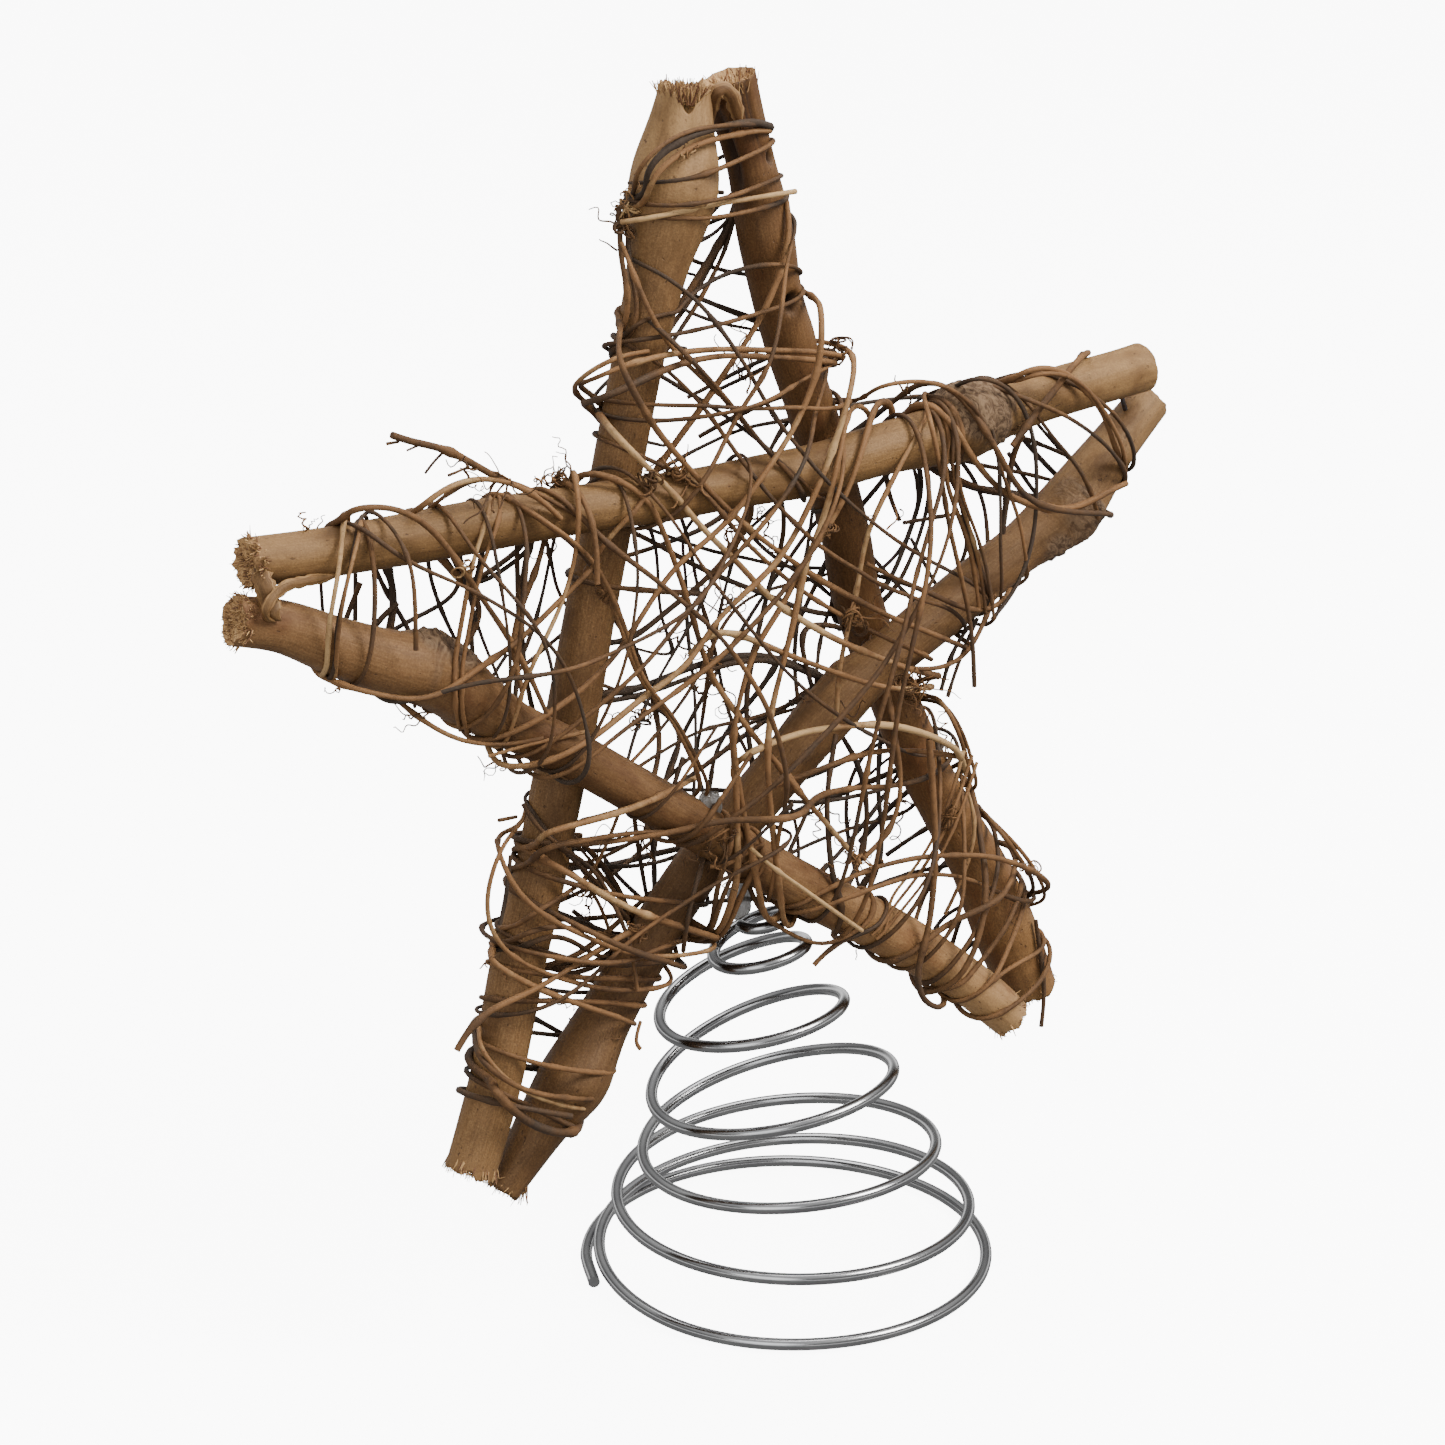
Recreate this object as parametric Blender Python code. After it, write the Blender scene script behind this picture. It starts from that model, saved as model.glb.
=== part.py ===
"""Rustic star made of five peeled sticks, wound with thin vines, standing on a conical wire spring.

The star is drawn in its own plane, in millimetres: u to the right, v up the star, w away from
the viewer. The plane leans back a little and stands over the spring, whose lowest turn rests
flat on the ground. Everything is closed, separate and at rest.
"""

import math

import bmesh
import bpy
import numpy as np

MM = 0.001
GAP = 0.3                     # smallest air gap left between two pieces, mm

# The star: where its middle stands over the spring, and how far its plane leans back
STAR_X = -6.0
STAR_Y = 9.7
STAR_Z = 138.6
STAR_LEAN = 4.1               # degrees
STAR_SCALE = 1.015            # all u, v sizes below are read at 240 mm across and scaled by this

# The sticks
STICK_SIDES = 10
STICK_RINGS = 20

# The spring: wire size, then its shape at each of these turns counted from the free end
WIRE_R = 1.35
WIRE_SIDES = 6
RING_STEPS = 20               # straight pieces in one turn
SPRING_AZIMUTH = -35.9        # degrees: the way the spring's own sideways lean points
TURN = (-0.055, 0.12, 0.8, 1.0, 2.0, 3.0, 4.0, 5.0, 6.0, 6.9)
TURN_RADIUS = (45.4, 43.8, 42.8, 42.0, 37.0, 29.7, 23.7, 17.4, 8.8, 5.0)
TURN_HEIGHT = (0.0, 0.0, 0.0, 3.4, 16.2, 29.7, 44.9, 62.1, 74.6, 80.0)
TURN_TILT = (0.0, 0.0, 0.0, 0.02, 0.043, 0.17, 0.29, 0.30, 0.36, 0.30)
TURN_LEAN = (0.0, 0.0, 0.0, 0.0, -1.0, -2.6, -6.6, -11.0, -8.0, -7.0)

# The hot glue between the top of the spring and the two sticks that cross over it
GLUE_R = 4.2

# The nail that shows between the two sticks at the right-hand tip
NAIL_R = 0.55
NAIL_AT = (0.955, 0.045)      # how far along the left-to-right stick and the right-hand stick
NAIL_CLEAR = 1.3              # each end of the bare shank stops this far from the bark

# The vines
VINE_SIDES = 4
VINE_STEP = 2.8               # spacing of the points while the strands are laid, mm
VINE_EASE = 84                # rounds of smoothing and spacing apart
VINE_GAP = 1.15               # air left round a strand while it is laid, mm
CHORD_ERROR = 0.55            # how far a straight piece may cut a curve, mm
CHORD_MAX = 30.0
PUFF = 0.085                  # how far a span bows away from the sticks, per mm of its length

# Each stick: centre-line points (u, v, w, radius) from its first end to its last
STICKS = {
    "A": ("stick_top_to_lower_left", (
        (-7.5, 118.0, 1.0, 4.9), (-8.6, 110.0, 1.2, 5.6), (-10.2, 101.5, 1.4, 8.3), (-12.6, 93.0, 1.6, 7.9),
        (-17.1, 78.6, 1.9, 5.7), (-24.5, 53.0, 2.6, 5.2), (-36.6, 9.5, 3.3, 5.3), (-49.0, -32.0, 3.4, 5.4),
        (-56.4, -52.0, 2.9, 5.6), (-64.8, -78.0, 2.4, 5.5), (-74.0, -99.5, 2.0, 5.2))),
    "B": ("stick_top_to_lower_right", (
        (3.8, 121.0, 3.0, 5.6), (6.4, 111.0, 3.1, 5.2), (9.0, 102.0, 3.3, 5.0), (12.5, 86.0, 3.7, 5.8),
        (15.8, 69.7, 4.0, 5.1), (22.6, 49.3, 4.5, 5.2), (33.8, 17.0, 7.8, 5.2), (38.8, 1.0, 10.7, 5.2),
        (51.6, -36.0, 7.6, 5.4), (66.0, -65.5, 4.5, 6.4), (70.1, -77.0, 3.5, 7.3), (77.6, -96.0, 2.2, 6.0))),
    "C": ("stick_left_to_right", (
        (-117.0, 42.2, -4.0, 4.6), (-97.0, 41.0, -4.9, 4.8), (-66.5, 40.7, -6.6, 5.0), (-39.4, 40.1, -8.0, 4.8),
        (-14.0, 38.8, -7.6, 4.8), (11.4, 38.2, -7.1, 5.2), (32.7, 39.2, -6.4, 5.4), (47.0, 39.6, -6.0, 6.3),
        (54.6, 40.6, -5.7, 7.5), (62.0, 41.4, -5.4, 6.3), (77.2, 42.8, -4.9, 5.3), (109.0, 44.9, -4.0, 5.3))),
    "D": ("stick_left_to_lower_right", (
        (-121.5, 32.4, -5.2, 4.7), (-106.2, 27.2, -5.8, 5.2), (-97.1, 21.8, -6.0, 5.8), (-85.5, 16.5, -6.5, 6.7),
        (-76.5, 12.6, -7.0, 7.3), (-70.0, 6.6, -7.3, 6.2), (-63.0, 0.6, -7.6, 5.1), (-52.0, -6.7, -8.0, 4.8),
        (-38.3, -16.6, -8.0, 4.8), (-18.0, -31.8, -8.0, 4.9), (4.5, -48.6, -7.6, 5.2), (35.0, -69.7, -6.7, 5.5),
        (50.2, -81.8, -6.4, 5.1), (65.4, -96.2, -6.0, 4.6))),
    "E": ("stick_right_to_lower_left", (
        (115.4, 37.0, 0.8, 4.5), (100.5, 26.6, -0.2, 5.4), (90.0, 17.4, -0.4, 6.8), (83.5, 13.4, -0.5, 6.3),
        (71.5, 8.4, -0.7, 5.4), (50.2, -1.2, -1.2, 5.5), (32.0, -9.6, -1.1, 5.4), (21.8, -16.5, -0.2, 6.0),
        (6.2, -30.1, 1.9, 5.4), (-10.9, -44.3, 3.7, 5.2), (-25.7, -58.5, 3.1, 5.4), (-37.8, -72.6, 3.3, 5.9),
        (-46.0, -82.2, 3.3, 6.6), (-53.0, -90.0, 3.4, 5.6), (-65.4, -104.4, 3.5, 3.5))),
}

# Where two sticks cross inside the star, a strand can drop through the corner outside them both
CORNERS = ("AC", "BC", "BE", "DE", "AD")

# Each vine: its name, radius, the side its first span lies on (-1 front, +1 back), and the places
# it goes round in turn: a stick with the percentage of its length, or one of the corners. A figure
# after a colon bows the span that follows to its left, in percent of the span's length
VINES = (
    ("vine_01", 0.95, -1, "A31:-9 BE:6 A70:-7 E67:-5 C74:8 D52"),
    ("vine_02", 0.90, -1, "A22:-14 E31:-5 A23:10 B22:5 A12:4 B13"),
    ("vine_03", 0.85, -1, "A15:-12 E28:6 C36:9 D36:6 C22:-5 D29"),
    ("vine_04", 0.90, -1, "B14:9 A38:5 C85:26 E08:9 C80:16 E15"),
    ("vine_05", 0.90, -1, "B28:6 D31:7 C26:-5 D26:-7 C11:-4 D13"),
    ("vine_06", 0.90, -1, "B32:14 D34:-8 C28:14 D63:9 B34:-10 A28"),
    ("vine_07", 0.95, -1, "C72:-12 D70:6 A76:-22 E72:7 C78:20 E10"),
    ("vine_08", 0.95, -1, "C69:-8 D74:5 B87:19 D91:6 B95:14 D94"),
    ("vine_09", 0.85, 1, "D46:8 C76:5 E29"),
    ("vine_10", 1.20, 1, "A44:-6 C74:-24 E12"),
    ("vine_11", 0.85, -1, "C09:17 D38:6 C18:8 D34:-6 AC:-10 B71"),
    ("vine_12", 0.90, 1, "C13:6 D16:-16 C50:5 D56"),
    ("vine_13", 0.90, -1, "A86:-26 E84:6 A82:6 E78:5 A79:-6 E75"),
    ("vine_14", 1.30, -1, "A89:-22 E91:5 A91"),
    ("vine_15", 0.90, -1, "A84:5 E57:9 A77:-12 E70"),
    ("vine_16", 1.15, -1, "A68:7 B73:8 A72:-17 E73:7 C31"),
    ("vine_17", 0.95, -1, "D67:15 B90:6 D86:-5 B80"),
    ("vine_18", 1.20, -1, "B75:6 D88:5 B84:-8 D80"),
    ("vine_19", 0.90, -1, "A09:22 B08:8 A11:16 B11:7 A30:10 B29"),
    ("vine_20", 0.85, 1, "D50:-9 B70:10 D83:5 B66:9 D77"),
)


# General helpers
def smooth(knots, values, at):
    """Curve through values given at knots, without overshoot: rows of values may be points."""
    knots = np.asarray(knots, float)
    values = np.asarray(values, float)
    flat = values.reshape(len(knots), -1)
    step = np.diff(knots)[:, None]
    rise = np.diff(flat, axis=0) / step
    slope = np.zeros_like(flat)
    before, after = rise[:-1], rise[1:]
    mixed = 2.0 * before * after / np.where(before + after == 0.0, 1.0, before + after)
    slope[1:-1] = np.where(before * after > 0.0, mixed, 0.0)
    slope[0], slope[-1] = rise[0], rise[-1]
    at = np.asarray(at, float)
    i = np.clip(np.searchsorted(knots, at, "right") - 1, 0, len(knots) - 2)
    h = step[i]
    t = (at[:, None] - knots[i][:, None]) / h
    a = (1 + 2 * t) * (1 - t) ** 2 * flat[i] + t * (1 - t) ** 2 * h * slope[i]
    b = t * t * (3 - 2 * t) * flat[i + 1] + t * t * (t - 1) * h * slope[i + 1]
    return (a + b).reshape((len(at),) + values.shape[1:])


def unit(v):
    v = np.asarray(v, float)
    return v / np.maximum(np.linalg.norm(v, axis=-1, keepdims=True), 1e-9)


def lengths_along(points):
    return np.r_[0.0, np.cumsum(np.linalg.norm(np.diff(points, axis=0), axis=1))]


def rings_about(points, side_hint, sides, radii, phase=0.0):
    """Rings of points square to a path, turned along it without twisting."""
    way = unit(np.gradient(points, axis=0))
    first = unit(side_hint - way[0] * (side_hint @ way[0]))
    rings = []
    for centre, along, radius in zip(points, way, radii):
        first = unit(first - along * (first @ along))
        second = np.cross(along, first)
        turn = phase + 2.0 * math.pi * np.arange(sides) / sides
        around = np.cos(turn)[:, None] * first + np.sin(turn)[:, None] * second
        rings.append(centre + around * np.reshape(radius, (-1, 1)))
    return np.array(rings)


def material(name, colour, roughness, metallic=0.0):
    mat = bpy.data.materials.new(name)
    mat.use_nodes = True
    node = mat.node_tree.nodes["Principled BSDF"]
    node.inputs["Base Color"].default_value = (*colour, 1.0)
    node.inputs["Roughness"].default_value = roughness
    node.inputs["Metallic"].default_value = metallic
    mat.diffuse_color = (*colour, 1.0)
    return mat


def add_solid(name, rings, mat):
    """Closed solid from rings of points in metres, with a flat cap at each end."""
    count, sides = rings.shape[:2]
    points = rings.reshape(-1, 3).tolist()
    faces = [tuple(range(sides))[::-1], tuple((count - 1) * sides + k for k in range(sides))]
    for i in range(count - 1):
        for k in range(sides):
            n = (k + 1) % sides
            faces.append((i * sides + k, i * sides + n, (i + 1) * sides + n, (i + 1) * sides + k))
    mesh = bpy.data.meshes.new(name)
    mesh.from_pydata(points, [], faces)
    work = bmesh.new()
    work.from_mesh(mesh)
    bmesh.ops.recalc_face_normals(work, faces=work.faces)
    bmesh.ops.triangulate(work, faces=work.faces)
    work.to_mesh(mesh)
    work.free()
    obj = bpy.data.objects.new(name, mesh)
    mesh.materials.append(mat)
    bpy.context.scene.collection.objects.link(obj)
    return obj


# The star's own plane
LEAN = math.radians(STAR_LEAN)
ORIGIN = np.array([STAR_X, STAR_Y, STAR_Z])
AXES = np.array([
    [1.0, 0.0, 0.0],
    [0.0, math.sin(LEAN), math.cos(LEAN)],
    [0.0, math.cos(LEAN), -math.sin(LEAN)],
])


def in_world(points):
    """Star points (u, v, w) in mm to world points in metres."""
    return (ORIGIN + np.asarray(points) @ AXES) * MM


# The sticks, as finely sampled centre-lines with radii
class Stick:
    def __init__(self, name, table):
        table = np.array(table) * STAR_SCALE
        self.name = name
        along = lengths_along(table[:, :3])
        self.length = along[-1]
        self.table_at = along / along[-1]
        self.table = table
        self.t = np.linspace(0.0, 1.0, 160)
        fine = smooth(self.table_at, table, self.t)
        self.points = fine[:, :3]
        self.radius = fine[:, 3]

    def at(self, t):
        row = smooth(self.table_at, self.table, np.array([t]))[0]
        ahead = smooth(self.table_at, self.table, np.array([min(t + 0.02, 1.0)]))[0]
        behind = smooth(self.table_at, self.table, np.array([max(t - 0.02, 0.0)]))[0]
        return row[:3], row[3], unit(ahead[:3] - behind[:3])

    def outward(self, t):
        """Level direction square to the stick that points away from the star's middle."""
        centre, _, along = self.at(t)
        side = unit(np.array([along[1], -along[0], 0.0]))
        return side if side @ centre > 0.0 else -side


def make_sticks():
    return {key: Stick(name, table) for key, (name, table) in STICKS.items()}


def corner(sticks, pair, room):
    """Point outside both of two crossing sticks, where a strand can pass between two arms."""
    one, two = sticks[pair[0]], sticks[pair[1]]
    flat = np.linalg.norm(one.points[:, None, :2] - two.points[None, :, :2], axis=2)
    i, j = np.unravel_index(np.argmin(flat), flat.shape)
    out_one = one.outward(one.t[i])
    out_two = two.outward(two.t[j])
    want = np.array([one.radius[i] + room, two.radius[j] + room])
    grid = np.array([out_one[:2], out_two[:2]])
    offset = np.linalg.solve(grid, want)
    middle = (one.points[i] + two.points[j]) / 2.0
    return middle + np.array([offset[0], offset[1], 0.0]), unit(np.array([offset[0], offset[1], 0.0]))


# Laying the vines
def way_points(sticks, radius, side, places):
    """Rough path through a vine's places, with -1, 0 or +1 for front, turning and back points."""
    turns = []
    bends = []
    for place in places.split():
        place, _, bend = place.partition(":")
        bends.append(int(bend or 0) / 100.0)
        if place in CORNERS:
            centre, out = corner(sticks, place, radius + VINE_GAP + 0.5)
            turns.append((centre, out, None, 0.0))
        else:
            stick = sticks[place[0]]
            t = int(place[1:]) / 100.0
            centre, thick, along = stick.at(t)
            turns.append((centre, stick.outward(t), along, thick + radius + VINE_GAP))
    path = []
    labels = []

    def put(point, label):
        path.append(point)
        labels.append(label)

    deep = np.array([0.0, 0.0, 1.0])
    side = -side
    for n, (centre, out, along, reach) in enumerate(turns):
        before = turns[n - 1][0] if n else turns[1][0]
        after = turns[n + 1][0] if n + 1 < len(turns) else turns[n - 1][0]
        drift = np.zeros(3)
        if along is not None:
            drift = along * np.sign((after - before) @ along) * 1.2
        if n == 0:
            tail = centre - out * (reach + 9.0) + unit(after - centre) * 3.0
            tail[2] = centre[2] + side * (max(reach, 9.0) + 2.0)
            put(tail, side)
        if along is None:
            for k in (-1.0, 0.0, 1.0):
                put(centre + deep * side * -k * 9.0, 0)
        else:
            for turn in (-75.0, -25.0, 25.0, 75.0):
                a = math.radians(turn)
                lean = deep * side * -math.sin(a) + out * math.cos(a)
                put(centre + lean * reach + drift * turn / 50.0, 0)
        side = -side
        if n + 1 < len(turns):
            span = np.linalg.norm(after[:2] - centre[:2])
            bow = PUFF * span + 9.0
            level = (centre[2] + after[2]) / 2.0
            left = np.array([centre[1] - after[1], after[0] - centre[0], 0.0]) * bends[n]
            for k in (0.2, 0.4, 0.6, 0.8):
                point = centre * (1 - k) + after * k + left * math.sin(math.pi * k)
                point[2] = level + side * bow * (0.7 + 0.3 * math.sin(math.pi * k))
                put(point, side)
        else:
            tail = centre - out * (reach + 7.0) + unit(centre - before) * 2.0
            tail[2] = centre[2] + side * (max(reach, 9.0) + 2.0)
            put(tail, side)
    return np.array(path), np.array(labels)


def even_path(path, labels, step):
    """Points spaced evenly along a path, each with the label of the way point it is nearest."""
    at = lengths_along(path)
    count = max(int(at[-1] / step), 8)
    places = np.linspace(0.0, at[-1], count + 1)
    points = smooth(at, path, places)
    nearest = np.abs(places[:, None] - at[None, :]).argmin(axis=1)
    return points, labels[nearest]


def close_pairs(points, owner, index, reach):
    """Pairs of points nearer than reach, leaving out neighbours on the same strand."""
    cell = np.floor(points / reach).astype(int)
    cell -= cell.min(axis=0) - 1
    size = cell.max(axis=0) + 2
    key = (cell[:, 0] * size[1] + cell[:, 1]) * size[2] + cell[:, 2]
    order = np.argsort(key, kind="stable")
    ranked = key[order]
    first, second = [], []
    for dx in (-1, 0, 1):
        for dy in (-1, 0, 1):
            for dz in (-1, 0, 1):
                other = key + (dx * size[1] + dy) * size[2] + dz
                low = np.searchsorted(ranked, other, "left")
                high = np.searchsorted(ranked, other, "right")
                count = high - low
                if not count.any():
                    continue
                a = np.repeat(np.arange(len(points)), count)
                b = order[np.arange(count.sum()) - np.repeat(np.cumsum(count) - count, count) + np.repeat(low, count)]
                keep = a < b
                first.append(a[keep])
                second.append(b[keep])
    a = np.concatenate(first)
    b = np.concatenate(second)
    apart = (owner[a] != owner[b]) | (np.abs(index[a] - index[b]) > 7)
    near = np.linalg.norm(points[a] - points[b], axis=1) < reach
    return a[apart & near], b[apart & near]


class Surroundings:
    """The sticks and the spring as points, with the nearest of them to each strand point."""

    def __init__(self, sticks, wire, wire_room):
        self.sticks = list(sticks.values())
        self.wire = wire
        self.wire_room = wire_room

    def look(self, points):
        self.flat_near = []
        self.near = []
        for stick in self.sticks:
            flat = np.linalg.norm(points[:, None, :2] - stick.points[None, :, :2], axis=2)
            self.flat_near.append(flat.argmin(axis=1))
            solid = np.linalg.norm(points[:, None] - stick.points[None], axis=2)
            self.near.append(solid.argmin(axis=1))
        far = np.linalg.norm(points[:, None] - self.wire[None], axis=2) - self.wire_room
        self.wire_near = far.argmin(axis=1)

    def lift_way(self, points, labels):
        """The way off the nearest stick, or straight out to the front or back for open spans."""
        best = np.full(len(points), 1e9)
        away = np.zeros_like(points)
        for stick, near in zip(self.sticks, self.near):
            reach = points - stick.points[near]
            gap = np.linalg.norm(reach, axis=1) - stick.radius[near]
            closer = gap < best
            best[closer] = gap[closer]
            away[closer] = unit(reach)[closer]
        open_span = (labels != 0) & (best > 3.5)
        away[open_span] = 0.0
        away[open_span, 2] = labels[open_span]
        return away

    def clear(self, points, labels, room):
        """Moves points out of the sticks and the wire: spans to front or back, turns radially."""
        reach = points - self.wire[self.wire_near]
        gap = np.linalg.norm(reach, axis=1) - self.wire_room[self.wire_near]
        inside = gap < room
        points[inside] += (unit(reach) * (room - gap)[:, None])[inside]
        for stick, flat_near, near in zip(self.sticks, self.flat_near, self.near):
            centre = stick.points[flat_near]
            close = np.linalg.norm(points[:, :2] - centre[:, :2], axis=1)
            need = stick.radius[flat_near] + room
            lift = np.sqrt(np.maximum(need ** 2 - close ** 2, 0.0))
            depth = (points[:, 2] - centre[:, 2]) * labels
            short = (close < need) & (labels != 0) & (depth < lift)
            points[short, 2] = (centre[:, 2] + labels * lift)[short]
            reach = points - stick.points[near]
            gap = np.linalg.norm(reach, axis=1)
            need = stick.radius[near] + room
            inside = (gap < need) & (labels == 0)
            points[inside] += (unit(reach) * (need - gap)[:, None])[inside]
        return points


def spread(points, thick, lift, a, b):
    """Lifts the later of two strands over the earlier one wherever they come too close."""
    d = points[b] - points[a]
    need = thick[a] + thick[b] + VINE_GAP
    way = unit(lift[a] + lift[b] + 1e-6)
    above = (d * way).sum(axis=1)
    flat = np.sqrt(np.maximum((d * d).sum(axis=1) - above ** 2, 0.0))
    rise = np.sqrt(np.maximum(need ** 2 - flat ** 2, 0.0)) - above
    tight = (flat < need) & (rise > 0.0)
    a, b = a[tight], b[tight]
    shift = way[tight] * rise[tight][:, None]
    move = np.zeros_like(points)
    hits = np.zeros(len(points))
    np.add.at(move, a, -0.15 * shift)
    np.add.at(move, b, 0.5 * shift)
    np.add.at(hits, a, 1.0)
    np.add.at(hits, b, 1.0)
    return points + move / np.maximum(hits, 1.0)[:, None]


def lay_vines(sticks, wire, wire_room):
    """Paths of all vines, wound round the sticks and clear of them, the spring and each other."""
    paths, labels, owner, index, thick = [], [], [], [], []
    for n, (_, radius, side, places) in enumerate(VINES):
        path, label = way_points(sticks, radius, side, places)
        path, label = even_path(path, label, VINE_STEP)
        paths.append(path)
        labels.append(label)
        owner.append(np.full(len(path), n))
        index.append(np.arange(len(path)))
        thick.append(np.full(len(path), radius))
    points = np.concatenate(paths)
    labels = np.concatenate(labels)
    owner = np.concatenate(owner)
    index = np.concatenate(index)
    thick = np.concatenate(thick)
    inner = (index[1:-1] > 0) & (owner[2:] == owner[1:-1]) & (owner[:-2] == owner[1:-1])
    inner = np.r_[False, inner, False]
    around = Surroundings(sticks, wire, wire_room)
    for turn in range(VINE_EASE):
        if turn % 6 == 0:
            around.look(points)
            lift = around.lift_way(points, labels)
            a, b = close_pairs(points, owner, index, 6.0)
        pull = np.zeros_like(points)
        pull[1:-1] = (points[:-2] + points[2:]) / 2.0 - points[1:-1]
        rate = 0.3 if turn < VINE_EASE * 0.7 else 0.06
        points[inner] += rate * pull[inner]
        points = spread(points, thick, lift, a, b)
        points = around.clear(points, labels, thick + VINE_GAP * 0.75)
    return [points[owner == n] for n in range(len(VINES))]


def few_points(path, error, longest):
    """Keeps only the points that the curve needs."""
    keep = [0]
    start = 0
    while start < len(path) - 1:
        end = start + 1
        while end + 1 < len(path):
            chord = path[end + 1] - path[start]
            long = np.linalg.norm(chord)
            between = path[start + 1:end + 1] - path[start]
            off = np.linalg.norm(np.cross(between, chord / max(long, 1e-9)), axis=1)
            if long > longest or off.max() > error:
                break
            end += 1
        keep.append(end)
        start = end
    return path[keep]


# Building the solids
def stick_rings(stick, rng):
    """Rings of one stick: slightly uneven, knuckled at the knots, with rough broken ends."""
    knots = np.unique(np.r_[stick.table_at, np.linspace(0.0, 1.0, STICK_RINGS)])
    wide = np.r_[True, np.diff(knots) > 0.022]
    wide[-1] = True
    knots = knots[wide]
    rows = smooth(stick.table_at, stick.table, knots)
    round_off = 1.0 + 0.025 * rng.standard_normal((len(knots), STICK_SIDES))
    radii = rows[:, 3:4] * np.clip(round_off, 0.94, 1.05)
    rings = rings_about(rows[:, :3], np.array([0.0, 0.0, -1.0]), STICK_SIDES, radii)
    for end, inward in ((0, 1), (-1, -2)):
        way = unit(rows[end, :3] - rows[inward, :3])
        rings[end] += way * rng.uniform(-1.5, 0.9, STICK_SIDES)[:, None]
    return rings


def spring_rings():
    """Rings of the conical spring, with a flat side of the wire facing down on the lowest turn."""
    count = int(round((TURN[-1] - TURN[0]) * RING_STEPS))
    s = np.linspace(TURN[0], TURN[-1], count + 1)
    shape = np.column_stack([TURN_RADIUS, TURN_HEIGHT, TURN_TILT, TURN_LEAN])
    radius, height, tilt, lean = smooth(TURN, shape, s).T
    angle = math.pi - 2.0 * math.pi * s
    across = radius * np.cos(angle)
    deep = radius * np.sin(angle)
    rest = WIRE_R * math.sin(math.pi / 3.0)
    level = rest + height + tilt * across
    level = np.maximum(level, rest)
    turn = math.radians(SPRING_AZIMUTH)
    right = np.array([math.cos(turn), math.sin(turn), 0.0])
    away = np.array([-math.sin(turn), math.cos(turn), 0.0])
    path = (across + lean)[:, None] * right + deep[:, None] * away
    path[:, 2] = level
    way = unit(np.gradient(path, axis=0))
    out = unit(np.cross(way, np.array([0.0, 0.0, 1.0])))
    up = np.cross(out, way)
    rings = []
    for k in range(len(path)):
        spin = 2.0 * math.pi * np.arange(WIRE_SIDES) / WIRE_SIDES
        around = np.cos(spin)[:, None] * out[k] + np.sin(spin)[:, None] * up[k]
        rings.append(path[k] + WIRE_R * around)
    return np.array(rings) * MM, path


def glue_rings(top_of_wire, under_sticks):
    """A squat lump of hot glue between the end of the spring and the crossing above it."""
    low = top_of_wire + np.array([0.0, 0.0, WIRE_R + GAP])
    high = under_sticks
    levels = np.array([0.0, 0.18, 0.5, 0.82, 1.0])
    widths = GLUE_R * np.array([0.55, 0.9, 1.0, 0.85, 0.5])
    path = low + (high - low) * levels[:, None]
    rings = []
    spin = 2.0 * math.pi * np.arange(8) / 8
    for centre, width in zip(path, widths):
        ripple = 1.0 + 0.12 * np.cos(3.0 * spin + centre[2])
        flat = np.column_stack([np.cos(spin), np.sin(spin), np.zeros(8)])
        rings.append(centre + flat * (width * ripple)[:, None])
    return np.array(rings) * MM


def nail_rings(above, below):
    """The bare shank of a thin nail between two sticks, from one surface to the other."""
    top, top_r, _ = above.at(NAIL_AT[0])
    low, low_r, _ = below.at(NAIL_AT[1])
    way = unit(low - top)
    path = np.array([top + way * (top_r + NAIL_CLEAR), low - way * (low_r + NAIL_CLEAR)])
    return rings_about(path, np.array([0.0, 0.0, 1.0]), 6, [NAIL_R, NAIL_R])


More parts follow.
